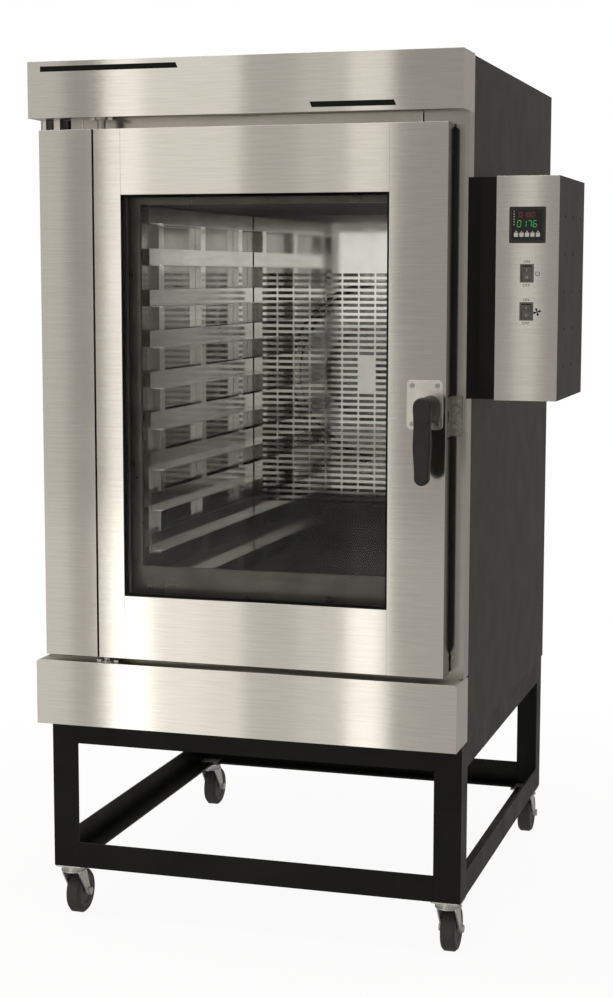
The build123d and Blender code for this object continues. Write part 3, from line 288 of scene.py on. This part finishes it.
def makeTyre(name, look, axle):    # axle: the wheel's centre in mm
    material, tree = startMaterial(name)
    place = patternAt(tree, (1, 1, 1), axle)
    flat = addNode(tree, "ShaderNodeVectorMath", {0: place, 1: (0, 1, 1)}, operation="MULTIPLY")
    reach = addNode(tree, "ShaderNodeVectorMath", {0: flat.outputs["Vector"]}, operation="LENGTH")
    radius = reach.outputs["Value"]
    edge = look["hubRadius"]
    blur = look["blur"]
    onTyre = addNode(tree, "ShaderNodeMapRange",
                     {"Value": radius, "From Min": edge - blur, "From Max": edge + blur})
    # Painted shade: the hub darkens over a narrow ring next to the tyre, for the groove between them.
    rimShade = addNode(tree, "ShaderNodeMapRange",
                     {"Value": radius, "From Min": edge - look["rimShade"], "From Max": edge})
    worn, factor, rough = mottle(tree, look["pitch"], 3.0, 0.6, (0, 1), look["roughness"])
    rubber = addNode(tree, "ShaderNodeMix", {0: factor, 6: toLinear(look["rubber"]),
                                             7: toLinear(look["rubberWorn"])}, data_type="RGBA")
    hub = addNode(tree, "ShaderNodeMix", {0: rimShade.outputs["Result"], 6: toLinear(look["hub"]),
                                          7: toLinear(look["shadedHubColour"])}, data_type="RGBA")
    colour = addNode(tree, "ShaderNodeMix", {0: onTyre.outputs["Result"], 6: hub.outputs[2],
                                             7: rubber.outputs[2]}, data_type="RGBA")
    tyre = addNode(tree, "ShaderNodeBsdfPrincipled", {
        "Base Color": colour.outputs[2], "IOR": look["ior"], "Roughness": rough,
        "Normal": bumpFrom(tree, worn, look["depth"], look["edge"]),
    })
    addNode(tree, "ShaderNodeOutputMaterial", {"Surface": tyre.outputs["BSDF"]})
    return material


# Segments and lamps of the display: light-emitting diodes behind a tinted filter, as colour and strength.
lampColours = {"redSegments": ("#7E2A26", 0.03), "greenSegments": ("#37B257", 0.10),
               "paleLamps": ("#A8A698", 0.05)}
lampCell = {"pitch": (1.5, 1.5, 1.5), "weakest": 0.75, "roughness": 0.4}


def makeLamp(name, colour, strength):
    material, tree = startMaterial(name)
    cell = mottle(tree, lampCell["pitch"], 1.0, 0.5, (lampCell["weakest"] * strength, strength))[1]
    lamp = addNode(tree, "ShaderNodeBsdfPrincipled", {
        "Base Color": toLinear(colour), "Emission Color": toLinear(colour),
        "Roughness": lampCell["roughness"], "Emission Strength": cell,
    })
    addNode(tree, "ShaderNodeOutputMaterial", {"Surface": lamp.outputs["BSDF"]})
    return material


finishes = {"brushedSteel304": makeBrushedSteel("brushedSteel304", brushedSheet)}
for name, look in plainMetals.items():
    finishes[name] = makePlainMetal(name, look)
for name, look in softFinishes.items():
    finishes[name] = makeSoftFinish(name, look)
finishes["toughenedGlass"] = makeGlass("toughenedGlass", windowGlass)
for name, (colour, strength) in lampColours.items():
    finishes[name] = makeLamp(name, colour, strength)
print("finishes made:", len(finishes))

# Which finish each CAD node gets.
nodeFinishes = {
    "brushedSteel304": ["hood", "bottom_fascia", "hinge_column", "door_left_stile", "door_right_stile",
                        "door_top_rail", "door_bottom_rail", "control_front"],
    "millGreyAndShade304": ["front_frame", "hinge_brackets"],
    "brightAnnealedLiner": ["cavity_liner"],
    # The door's liner and inner glass frame take a dark steel colour: painted shade inside the door.
    "doorLinerPaintedShade": ["door_liner", "inner_glass_frame"],
    "punchedGuard": ["fan_guard"],
    "rackSteel": ["left_rack", "right_rack"],
    "polishedChrome": ["handle_plate"],
    "castKeeper": ["keeper"],
    "machinedSteel": ["hinge_pins", "handle_screws", "latch_bolt"],
    "zincPlate": ["caster_plates", "front_left_fork", "front_right_fork", "rear_left_fork",
                  "rear_right_fork"],
    "galvanisedSheet": ["base_pan", "rear_cover", "fan_wheel", "lock_case"],
    "brownPowderCoat": ["left_side_panel", "right_side_panel", "top_cover", "control_box"],
    "blackPowderCoat": ["stand_legs", "lower_rails", "upper_rails", "control_duct"],
    "motorEnamel": ["fan_motor"],
    "glassFilledNylon": ["handle_lever"],
    "blackAbs": ["controller", "cable_gland"],
    "rockerAbs": ["rocker_frames", "power_rocker", "fan_rocker"],
    "keySilicone": ["menu_key", "back_key", "down_key", "up_key", "set_key"],
    "sealSilicone": ["door_seal"],
    "glazingRubber": ["glazing_strips"],
    "mineralWool": ["insulation"],
    "oxidisedSheath": ["heating_element"],
    "toughenedGlass": ["outer_glass", "inner_glass"],
}
corners = ("front_left", "front_right", "rear_left", "rear_right")


def dress(thing, material):
    if not thing.data.materials:
        thing.data.materials.append(material)
    for slot in thing.material_slots:
        slot.material = material


for finish, members in nodeFinishes.items():
    for member in members:
        dress(nodes[member], finishes[finish])
for corner in corners:
    low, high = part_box(corner + "_wheel")
    axle = [(a + b) / 2 / mm for a, b in zip(low, high)]
    dress(nodes[corner + "_wheel"], makeTyre(corner + "Tyre", casterTyre, axle))
bare = [name for name, thing in nodes.items() if not thing.data.materials or thing.data.materials[0] is None]
print("CAD nodes dressed, without a finish:", bare)


def meshPiece(name, points, faces, material):    # points in mm
    mesh = bpy.data.meshes.new(name)
    mesh.from_pydata([[c * mm for c in p] for p in points], [], faces)
    mesh.validate()
    mesh.update()
    piece = bpy.data.objects.new(name, mesh)
    scene.collection.objects.link(piece)
    mesh.materials.append(material)
    return piece


def slabs(name, outlines, front, wall, finish, body):
    # Outlines: flat shapes in x and z, anticlockwise from the front, that stand out from a face towards -Y.
    points = []
    faces = []
    for outline in outlines:
        start = len(points)
        count = len(outline)
        points += [(x, front, z) for x, z in outline]
        points += [(x, front + wall, z) for x, z in outline]
        faces.append([start + k for k in range(count)])
        faces.append([start + count + k for k in reversed(range(count))])
        for k in range(count):
            after = (k + 1) % count
            faces.append([start + after, start + k, start + count + k, start + count + after])
    piece = meshPiece(name, points, faces, finishes[finish])
    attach(piece, body)
    return piece


def rectangle(x0, x1, z0, z1, lean=0.0, leftLean=0.0):    # lean tilts the right side, leftLean the left
    return [(x0 - leftLean, z0), (x1 - lean, z0), (x1 + lean, z1), (x0 + leftLean, z1)]


def ring(x, z, outer, inner, start=0.0, end=360.0, steps=24):    # quads round an arc, degrees from +X
    parts = []
    for k in range(steps):
        a, b = [math.radians(start + (end - start) * (k + j) / steps) for j in (0, 1)]
        parts.append([(x + outer * math.cos(a), z + outer * math.sin(a)),
                      (x + outer * math.cos(b), z + outer * math.sin(b)),
                      (x + inner * math.cos(b), z + inner * math.sin(b)),
                      (x + inner * math.cos(a), z + inner * math.sin(a))])
    return parts


# Two plain black bars printed on the hood, their ends cut on a slant.
hoodBars = {"front": -519.25, "wall": 0.2, "slant": -2.4,
            "upper": (-538.25, -229.8, 1885.7, 1896.9), "lower": (60.4, 237.4, 1798.2, 1809.5)}
bars = [rectangle(*hoodBars["upper"], hoodBars["slant"]),
        rectangle(*hoodBars["lower"], hoodBars["slant"], hoodBars["slant"])]
slabs("hoodBars", bars, hoodBars["front"], hoodBars["wall"], "blackPrint", "cabinet")

# Folded ends of the frame that show between the column's top and the hood, and the header's two seams.
header = {
    "low": 1764.5, "high": 1788.7, "face": -454.7,
    "ends": [(-557, -549, 14, "brushedSteel304"), (-549, -536, 9, "shadedSteel"),
             (-531, -516.6, 14, "brushedSteel304")],    # left, right, how far it stands out, finish
    "endGap": 0.2, "shade": [(-516.6, -503)], "recess": [(-536, -533.5), (-503, -497)],
    "sunk": 0.3, "sunkWall": 0.5,
    "lips": [(-470.4, -468.6), (277.9, 279.7)], "lipOut": 1.5, "lipWall": 1.6,
    "joint": [(280.5, 283.1)], "jointWall": 0.4,
}


def headerParts(spans):
    return [rectangle(left, right, header["low"], header["high"]) for left, right in spans]


for k, (left, right, out, finish) in enumerate(header["ends"]):
    slabs("frameEnd%d" % (k + 1), headerParts([(left, right)]), header["face"] - out, out - header["endGap"],
          finish, "cabinet")
# Painted shade: the shade slab is darkened steel and the recess and joint slabs are black, for the shade
# under the hood and inside the gaps.
sunkFront = header["face"] - header["sunk"]
slabs("frameEndShade", headerParts(header["shade"]), sunkFront, header["sunkWall"], "shadedSteel",
      "cabinet")
slabs("frameEndGaps", headerParts(header["recess"]), sunkFront, header["sunkWall"], "gapShade",
      "cabinet")
slabs("headerLips", headerParts(header["lips"]), header["face"] - header["lipOut"], header["lipWall"],
      "polishedChrome", "cabinet")
slabs("headerJoints", headerParts(header["joint"]), sunkFront, header["jointWall"], "gapShade",
      "cabinet")

# Painted shade: a dark strip in the slit left open between the keeper and the door's notch.
keeperSlit = {"outline": (341.3, 343.6, 1129.5, 1211.5), "front": -498.75, "wall": 0.3}
slabs("keeperSlit", [rectangle(*keeperSlit["outline"])], keeperSlit["front"], keeperSlit["wall"], "gapShade",
      "cabinet")
print("hood bars and header made")

# The controller's window with its display: a red row over a green row, lamps at the left, key marks below.
display = {
    "window": (474.1, 534.6, 1530.0, 1589.3), "front": -493.9, "wall": 0.35, "stroke": 1.6, "lean": 0.7,
    "mitre": 1.25, "printOut": 0.12, "printWall": 0.11,
    "rows": [("redDigits", "redSegments", "0180", 487.5, 1575.0, 5.4, 9.0, 8.6),
             ("greenDigits", "greenSegments", "0176", 484.6, 1555.0, 6.6, 12.4, 10.6)],
    "lamps": {"x": 476.6, "z": 1587.0, "pitch": 5.2, "count": 6, "size": 2.3},
    "keyMark": {"lift": 1.2, "halfSquare": 1.5, "squareHeight": 2.2, "halfArrow": 1.6, "arrowHeight": 2.6},
}    # each row: piece, finish, text, left and bottom of the first digit, its width and height, the pitch
digitSegments = {"0": "abcdef", "1": "bc", "6": "afgcde", "7": "abc", "8": "abcdefg"}


def digitShapes(text, x, z, width, height, pitch):
    half = display["stroke"] / 2
    cut = half * display["mitre"]
    tilt = display["lean"] / height
    shapes = []
    for k, digit in enumerate(text):
        left = x + k * pitch
        right = left + width
        middle = z + height / 2
        high = z + height
        ends = {"a": ((left, high), (right, high)), "g": ((left, middle), (right, middle)),
                "d": ((left, z), (right, z)), "f": ((left, middle), (left, high)),
                "b": ((right, middle), (right, high)), "e": ((left, z), (left, middle)),
                "c": ((right, z), (right, middle))}
        for segment in digitSegments[digit]:
            (x0, z0), (x1, z1) = ends[segment]
            if z0 == z1:
                shape = [(x0 + cut, z0 - half), (x1 - cut, z0 - half), (x1 - cut + half, z0),
                         (x1 - cut, z0 + half), (x0 + cut, z0 + half), (x0 + cut - half, z0)]
            else:
                shape = [(x0, z0 + cut - half), (x0 + half, z0 + cut), (x0 + half, z1 - cut),
                         (x0, z1 - cut + half), (x0 - half, z1 - cut), (x0 - half, z0 + cut)]
            shapes.append([(px + (pz - z) * tilt, pz) for px, pz in shape])
    return shapes


slabs("displayWindow", [rectangle(*display["window"])], display["front"], display["wall"], "screenAcrylic",
      "cabinet")
printFront = display["front"] - display["printOut"]
printWall = display["printWall"]
for name, finish, text, *place in display["rows"]:
    slabs(name, digitShapes(text, *place), printFront, printWall, finish, "cabinet")
lamps = display["lamps"]
lampShapes = []
for k in range(lamps["count"]):
    z = lamps["z"] - k * lamps["pitch"]
    lampShapes.append(rectangle(lamps["x"], lamps["x"] + lamps["size"], z - lamps["size"], z))
slabs("displayLamps", lampShapes, printFront, printWall, "paleLamps", "cabinet")
mark = display["keyMark"]
marks = []
for k, key in enumerate(("menu_key", "back_key", "down_key", "up_key", "set_key")):
    low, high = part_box(key)
    x = (low.x + high.x) / 2 / mm
    z = high.z / mm + mark["lift"]
    if k % 2:
        marks.append([(x - mark["halfArrow"], z), (x + mark["halfArrow"], z), (x, z + mark["arrowHeight"])])
    else:
        marks.append(rectangle(x - mark["halfSquare"], x + mark["halfSquare"], z, z + mark["squareHeight"]))
slabs("keyMarks", marks, printFront, printWall, "whitePrint", "cabinet")
print("display made")

# ON and OFF over and under each rocker, a power sign and a fan sign.
legends = {
    "front": -489.15, "wall": 0.13, "size": 8.0, "spacing": 1.1, "x": 503.6, "onLift": 21.2, "offDrop": 25.8,
    "power": {"x": 525.75, "z": 1462.4, "outer": 4.8, "inner": 3.6, "arc": (120, 420), "steps": 28,
              "bar": (0.4, 0.4, 0.6)},    # the bar's half width, where it starts, how far it passes the ring
    "fan": {"x": 526.05, "z": 1385.8, "reach": 7.6, "blades": 4, "turn": 20, "hub": (1.2, 0.5), "steps": 12},
}


def words(name, text, x, z, body):
    curve = bpy.data.curves.new(name, "FONT")
    curve.body = text
    curve.size = legends["size"] * mm
    curve.align_x = "CENTER"
    curve.extrude = legends["wall"] / 2 * mm
    curve.space_character = legends["spacing"]
    source = bpy.data.objects.new(name + "Curve", curve)
    scene.collection.objects.link(source)
    bpy.context.view_layer.update()
    mesh = bpy.data.meshes.new_from_object(source.evaluated_get(bpy.context.evaluated_depsgraph_get()))
    bpy.data.objects.remove(source)
    upright = Matrix.Rotation(math.radians(90), 4, "X")
    middle = legends["front"] + legends["wall"] / 2
    mesh.transform(Matrix.Translation((x * mm, middle * mm, z * mm)) @ upright)
    mesh.materials.clear()
    mesh.materials.append(finishes["blackPrint"])
    piece = bpy.data.objects.new(name, mesh)
    scene.collection.objects.link(piece)
    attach(piece, body)


for rocker in ("power", "fan"):
    low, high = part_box(rocker + "_rocker")
    middle = (low.z + high.z) / 2 / mm
    for word, z in (("ON", middle + legends["onLift"]), ("OFF", middle - legends["offDrop"])):
        words(rocker + word.title() + "Word", word, legends["x"], z, "cabinet")
sign = legends["power"]
x = sign["x"]
z = sign["z"]
half, rise, past = sign["bar"]
powerShapes = ring(x, z, sign["outer"], sign["inner"], *sign["arc"], sign["steps"])
powerShapes.append(rectangle(x - half, x + half, z + rise, z + sign["outer"] + past))
slabs("powerSign", powerShapes, legends["front"], legends["wall"], "greyPrint", "cabinet")
sign = legends["fan"]
x = sign["x"]
z = sign["z"]
reach = sign["reach"]    # the blade's outline swells towards its tip
blade = [(0.8, -0.4), (reach * 0.35, -1.6), (reach * 0.75, -2.5), (reach, -1.6), (reach * 1.05, 0.3),
         (reach * 0.9, 1.7), (reach * 0.6, 1.6), (0.8, 0.7)]
fanShapes = []
for k in range(sign["blades"]):
    turn = math.radians(360 / sign["blades"] * k + sign["turn"])
    c = math.cos(turn)
    s = math.sin(turn)
    fanShapes.append([(x + px * c - pz * s, z + px * s + pz * c) for px, pz in blade])
fanShapes += ring(x, z, *sign["hub"], steps=sign["steps"])
slabs("fanSign", fanShapes, legends["front"], legends["wall"], "blackPrint", "cabinet")

# I and O on each rocker; they follow its face and rock with it.
rockerMarks = {"lift": 7.4, "bar": (0.55, 2.6), "ring": (2.3, 1.5), "steps": 20, "proud": 0.12, "wall": 0.1,
               "lookFrom": -0.7}


def faceOf(node, x, z):    # where the node's front lies on the y axis, in mm
    start = Vector((x * mm, rockerMarks["lookFrom"], z * mm))
    place = nodes[node].ray_cast(start, Vector((0, 1, 0)))[1]
    return place.y / mm


for rocker in ("power", "fan"):
    low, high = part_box(rocker + "_rocker")
    x = (low.x + high.x) / 2 / mm
    z = (low.z + high.z) / 2 / mm
    half, tall = rockerMarks["bar"]
    lift = rockerMarks["lift"]
    wall = rockerMarks["wall"]
    shapes = [rectangle(x - half, x + half, z + lift - tall, z + lift + tall)]
    shapes += ring(x, z - lift, *rockerMarks["ring"], steps=rockerMarks["steps"])
    piece = slabs(rocker + "RockerMarks", shapes, 0, wall, "whitePrint", rocker + "_switch")
    for vertex in piece.data.vertices:
        sunk = wall if vertex.co.y > wall / 2 * mm else 0.0
        face = faceOf(rocker + "_rocker", vertex.co.x / mm, vertex.co.z / mm)
        vertex.co.y = (face - rockerMarks["proud"] + sunk) * mm
print("legends made")

# Button-head socket screws, made once by a node tree and set on each point it is given.
screws = {
    "flangeBolt": {"points": [(352, -454.5, 662)], "facing": (0, -1, 0), "radius": 4.6, "height": 2.6,
                   "finish": "machinedSteel", "slot": "zinc"},
    "rearScrews": {"points": [(x, 549, z) for x in (-557, -95, 366) for z in (486, 1890)]
                   + [(x, 549, z) for x in (-557, 366) for z in (760, 1040, 1320, 1600)],
                   "facing": (0, 1, 0), "radius": 4.2, "height": 2.2, "finish": "zincPlate", "slot": "zinc"},
    "casterBolts": {"points": [], "facing": (0, 0, -1), "radius": 4.2, "height": 2.8,
                    "finish": "zincPlate", "slot": "zinc"},
}
screwHead = {"segments": 20, "rings": 10, "socketSides": 6, "socketShare": 0.45}
# The kingpin stands at the crown's centre, and the four bolts round it.
casterBolting = {"spread": 25.5, "crownReach": 29, "underside": 124}
for corner in corners:
    low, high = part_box(corner + "_fork")
    pinX = (low.x + high.x) / 2 / mm
    pinY = low.y / mm + casterBolting["crownReach"]
    reach = casterBolting["spread"]
    for dx in (-reach, reach):
        for dy in (-reach, reach):
            screws["casterBolts"]["points"].append((pinX + dx, pinY + dy, casterBolting["underside"]))


def makeScrewTree():
    tree = bpy.data.node_groups.new("socketScrews", "GeometryNodeTree")
    for socket, kind in (("Geometry", "Geometry"), ("Head radius", "Float"), ("Head height", "Float"),
                         ("Facing", "Vector"), ("Finish", "Material")):
        tree.interface.new_socket(socket, in_out="INPUT", socket_type="NodeSocket" + kind)
    tree.interface.new_socket("Geometry", in_out="OUTPUT", socket_type="NodeSocketGeometry")
    given = addNode(tree, "NodeGroupInput").outputs
    ball = addNode(tree, "GeometryNodeMeshUVSphere",
                   {"Segments": screwHead["segments"], "Rings": screwHead["rings"], "Radius": 1.0})
    size = addNode(tree, "ShaderNodeCombineXYZ",
                   {"X": given["Head radius"], "Y": given["Head radius"], "Z": given["Head height"]})
    dome = addNode(tree, "GeometryNodeTransform",
                   {"Geometry": ball.outputs["Mesh"], "Scale": size.outputs["Vector"]})
    across = addNode(tree, "ShaderNodeMath", {0: given["Head radius"], 1: screwHead["socketShare"]},
                     operation="MULTIPLY")
    hexagon = addNode(tree, "GeometryNodeMeshCylinder",
                      {"Vertices": screwHead["socketSides"], "Radius": across.outputs[0],
                       "Depth": given["Head height"]})
    lift = addNode(tree, "ShaderNodeCombineXYZ", {"Z": given["Head height"]})
    socket = addNode(tree, "GeometryNodeTransform",
                     {"Geometry": hexagon.outputs["Mesh"], "Translation": lift.outputs["Vector"]})
    head = addNode(tree, "GeometryNodeMeshBoolean",
                   {"Mesh 1": dome.outputs["Geometry"], "Mesh 2": socket.outputs["Geometry"]},
                   operation="DIFFERENCE")
    aim = addNode(tree, "FunctionNodeAlignRotationToVector", {"Vector": given["Facing"]}, axis="Z")
    spots = addNode(tree, "GeometryNodeMeshToPoints", {"Mesh": given["Geometry"]})
    many = addNode(tree, "GeometryNodeInstanceOnPoints",
                   {"Points": spots.outputs["Points"], "Instance": head.outputs["Mesh"],
                    "Rotation": aim.outputs["Rotation"]})
    real = addNode(tree, "GeometryNodeRealizeInstances", {"Geometry": many.outputs["Instances"]})
    done = addNode(tree, "GeometryNodeSetMaterial",
                   {"Geometry": real.outputs["Geometry"], "Material": given["Finish"]})
    addNode(tree, "NodeGroupOutput", {"Geometry": done.outputs["Geometry"]})
    return tree


def makeScrews(name, look, tree):
    base = meshPiece(name + "Points", look["points"], [], finishes[look["finish"]])
    modifier = base.modifiers.new("screws", "NODES")
    modifier.node_group = tree
    inputs = {item.name: item.identifier for item in tree.interface.items_tree if item.in_out == "INPUT"}
    modifier[inputs["Head radius"]] = look["radius"] * mm
    modifier[inputs["Head height"]] = look["height"] * mm
    modifier[inputs["Facing"]] = look["facing"]
    modifier[inputs["Finish"]] = finishes[look["finish"]]
    bpy.context.view_layer.update()
    seen = base.evaluated_get(bpy.context.evaluated_depsgraph_get())
    piece = bpy.data.objects.new(name, bpy.data.meshes.new_from_object(seen))
    bpy.data.objects.remove(base)
    scene.collection.objects.link(piece)
    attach(piece, "cabinet")
    print(name, len(look["points"]), "screws", len(piece.data.polygons), "faces")


screwTree = makeScrewTree()
for name, look in screws.items():
    makeScrews(name, look, screwTree)

# Camera at the photograph's place: spot, lens and sensor in mm, roll in degrees, reach in metres.
cameraPlace = {"spot": (1167.55, -4240.3, 1459.1), "look": (-0.2849, 0.9512, -0.1187), "lens": 67.61,
               "sensor": 36.0, "roll": 0.08, "nearest": 0.1, "farthest": 200.0}
cameraData = bpy.data.cameras.new("photoCamera")
cameraData.lens = cameraPlace["lens"]
cameraData.sensor_width = cameraPlace["sensor"]
cameraData.clip_start = cameraPlace["nearest"]
cameraData.clip_end = cameraPlace["farthest"]
camera = bpy.data.objects.new("photoCamera", cameraData)
camera.rotation_mode = "QUATERNION"
turned = Vector(cameraPlace["look"]).to_track_quat("-Z", "Y")
roll = Matrix.Rotation(math.radians(cameraPlace["roll"]), 3, "Z").to_quaternion()
camera.rotation_quaternion = turned @ roll
camera.location = [c * mm for c in cameraPlace["spot"]]
scene.collection.objects.link(camera)
scene.camera = camera

# Studio, in metres: a pale floor that fades into the white background, a soft top light, tall strips in
# front, which the brushed steel shows as upright bands, and lamps just inside the door for the cavity.
studio = {
    "floorRadius": 9.0, "floorSides": 72, "fade": (0.8, 2.2), "glowShare": (0.94, 1.0), "paper": "#F4F3F1",
    "background": 1.0, "mirrorLevel": 0.38, "mirrorColour": "#FFFBF4",
    "distance": -5.0, "lowDistance": -4.9, "step": 0.01,
    "strips": [(-2.95, -2.47, 0.26), (-2.27, -1.60, 0.52), (-2.27, -2.08, 0.36), (-1.60, -1.10, 0.16),
               (-1.32, -1.06, 0.12), (-1.08, -0.88, 0.56), (-0.34, -0.23, 0.38)],    # left, right, level
    "lowStrips": [(-3.4, 0.8, 0.12), (-2.27, -2.0, 0.42), (-2.27, -1.75, 0.12), (-1.06, -0.90, 0.44)],
    "stripHeights": (-3.2, 6.0), "lowHeights": (-3.2, 0.35),
    "fills": [("fillHigh", 1.32, 1.58, 1.1), ("fillMiddle", 1.02, 1.32, 0.55),
              ("fillLow", 0.86, 1.02, 0.15)],    # bottom, top, level
    "fillX": -0.03, "fillY": -0.44, "fillWidth": 0.54, "fillColour": "#FFFFFF",
    "top": {"spot": (-0.6, -1.2, 4.6), "aim": (0, 0, 0.8), "size": 4.0, "level": 2.2},
}
floorMesh = bpy.data.meshes.new("studioFloor")
sides = studio["floorSides"]
angles = [math.radians(360 / sides * k) for k in range(sides)]
rim = [(studio["floorRadius"] * math.cos(a), studio["floorRadius"] * math.sin(a), 0) for a in angles]
floorMesh.from_pydata(rim, [], [list(range(sides))])
floor = bpy.data.objects.new("studioFloor", floorMesh)
scene.collection.objects.link(floor)
paper, tree = startMaterial("backdropPaper")
metre = 1 / mm
away = addNode(tree, "ShaderNodeVectorMath", {0: patternAt(tree, (metre, metre, metre))}, operation="LENGTH")
fadeStart, fadeEnd = studio["fade"]
shareLow, shareHigh = studio["glowShare"]
fade = addNode(tree, "ShaderNodeMapRange", {"Value": away.outputs["Value"], "From Min": fadeStart,
                                            "From Max": fadeEnd, "To Min": shareLow, "To Max": shareHigh})
matt = addNode(tree, "ShaderNodeBsdfDiffuse", {"Color": toLinear(studio["paper"])})
glow = addNode(tree, "ShaderNodeEmission", {"Color": (1, 1, 1, 1), "Strength": studio["background"]})
mixed = addNode(tree, "ShaderNodeMixShader", {0: fade.outputs["Result"], 1: matt.outputs["BSDF"],
                                              2: glow.outputs["Emission"]})
addNode(tree, "ShaderNodeOutputMaterial", {"Surface": mixed.outputs["Shader"]})
floorMesh.materials.append(paper)
floor.visible_glossy = False
floor.visible_diffuse = False


def softBox(name, spot, aim, width, height, level, colour="#FFFCF8"):    # level: brightness of its face
    data = bpy.data.lights.new(name, "AREA")
    data.shape = "RECTANGLE"
    data.size = width
    data.size_y = height
    data.energy = level * math.pi * width * height
    data.color = toLinear(colour)[:3]
    light = bpy.data.objects.new(name, data)
    light.location = spot
    light.rotation_mode = "QUATERNION"
    light.rotation_quaternion = (Vector(aim) - Vector(spot)).to_track_quat("-Z", "Y")
    scene.collection.objects.link(light)
    light.visible_camera = False
    return light


def stripRow(name, strips, heights, distance):
    low, high = heights
    middle = (low + high) / 2
    for k, (left, right, level) in enumerate(strips):
        x = (left + right) / 2
        spot = (x, distance + studio["step"] * k, middle)
        softBox("%s%d" % (name, k + 1), spot, (x, 0, middle), right - left, high - low, level)


stripRow("strip", studio["strips"], studio["stripHeights"], studio["distance"])
stripRow("lowStrip", studio["lowStrips"], studio["lowHeights"], studio["lowDistance"])
for name, low, high, level in studio["fills"]:
    middle = (low + high) / 2
    x = studio["fillX"]
    fill = softBox(name, (x, studio["fillY"], middle), (x, 0, middle), studio["fillWidth"], high - low,
                   level, studio["fillColour"])
    fill.visible_transmission = False
top = studio["top"]
softBox("topLight", top["spot"], top["aim"], top["size"], top["size"], top["level"])

world = bpy.data.worlds.new("studioAir")
scene.world = world
world.use_nodes = True
air = world.node_tree
air.nodes.clear()
ray = addNode(air, "ShaderNodeLightPath")
white = addNode(air, "ShaderNodeBackground", {"Color": (1, 1, 1, 1), "Strength": studio["background"]})
dim = addNode(air, "ShaderNodeBackground", {"Color": toLinear(studio["mirrorColour"]),
                                            "Strength": studio["mirrorLevel"]})
seen = addNode(air, "ShaderNodeMixShader", {0: ray.outputs["Is Camera Ray"], 1: dim.outputs["Background"],
                                            2: white.outputs["Background"]})
addNode(air, "ShaderNodeOutputWorld", {"Surface": seen.outputs["Shader"]})
print("camera and studio made")
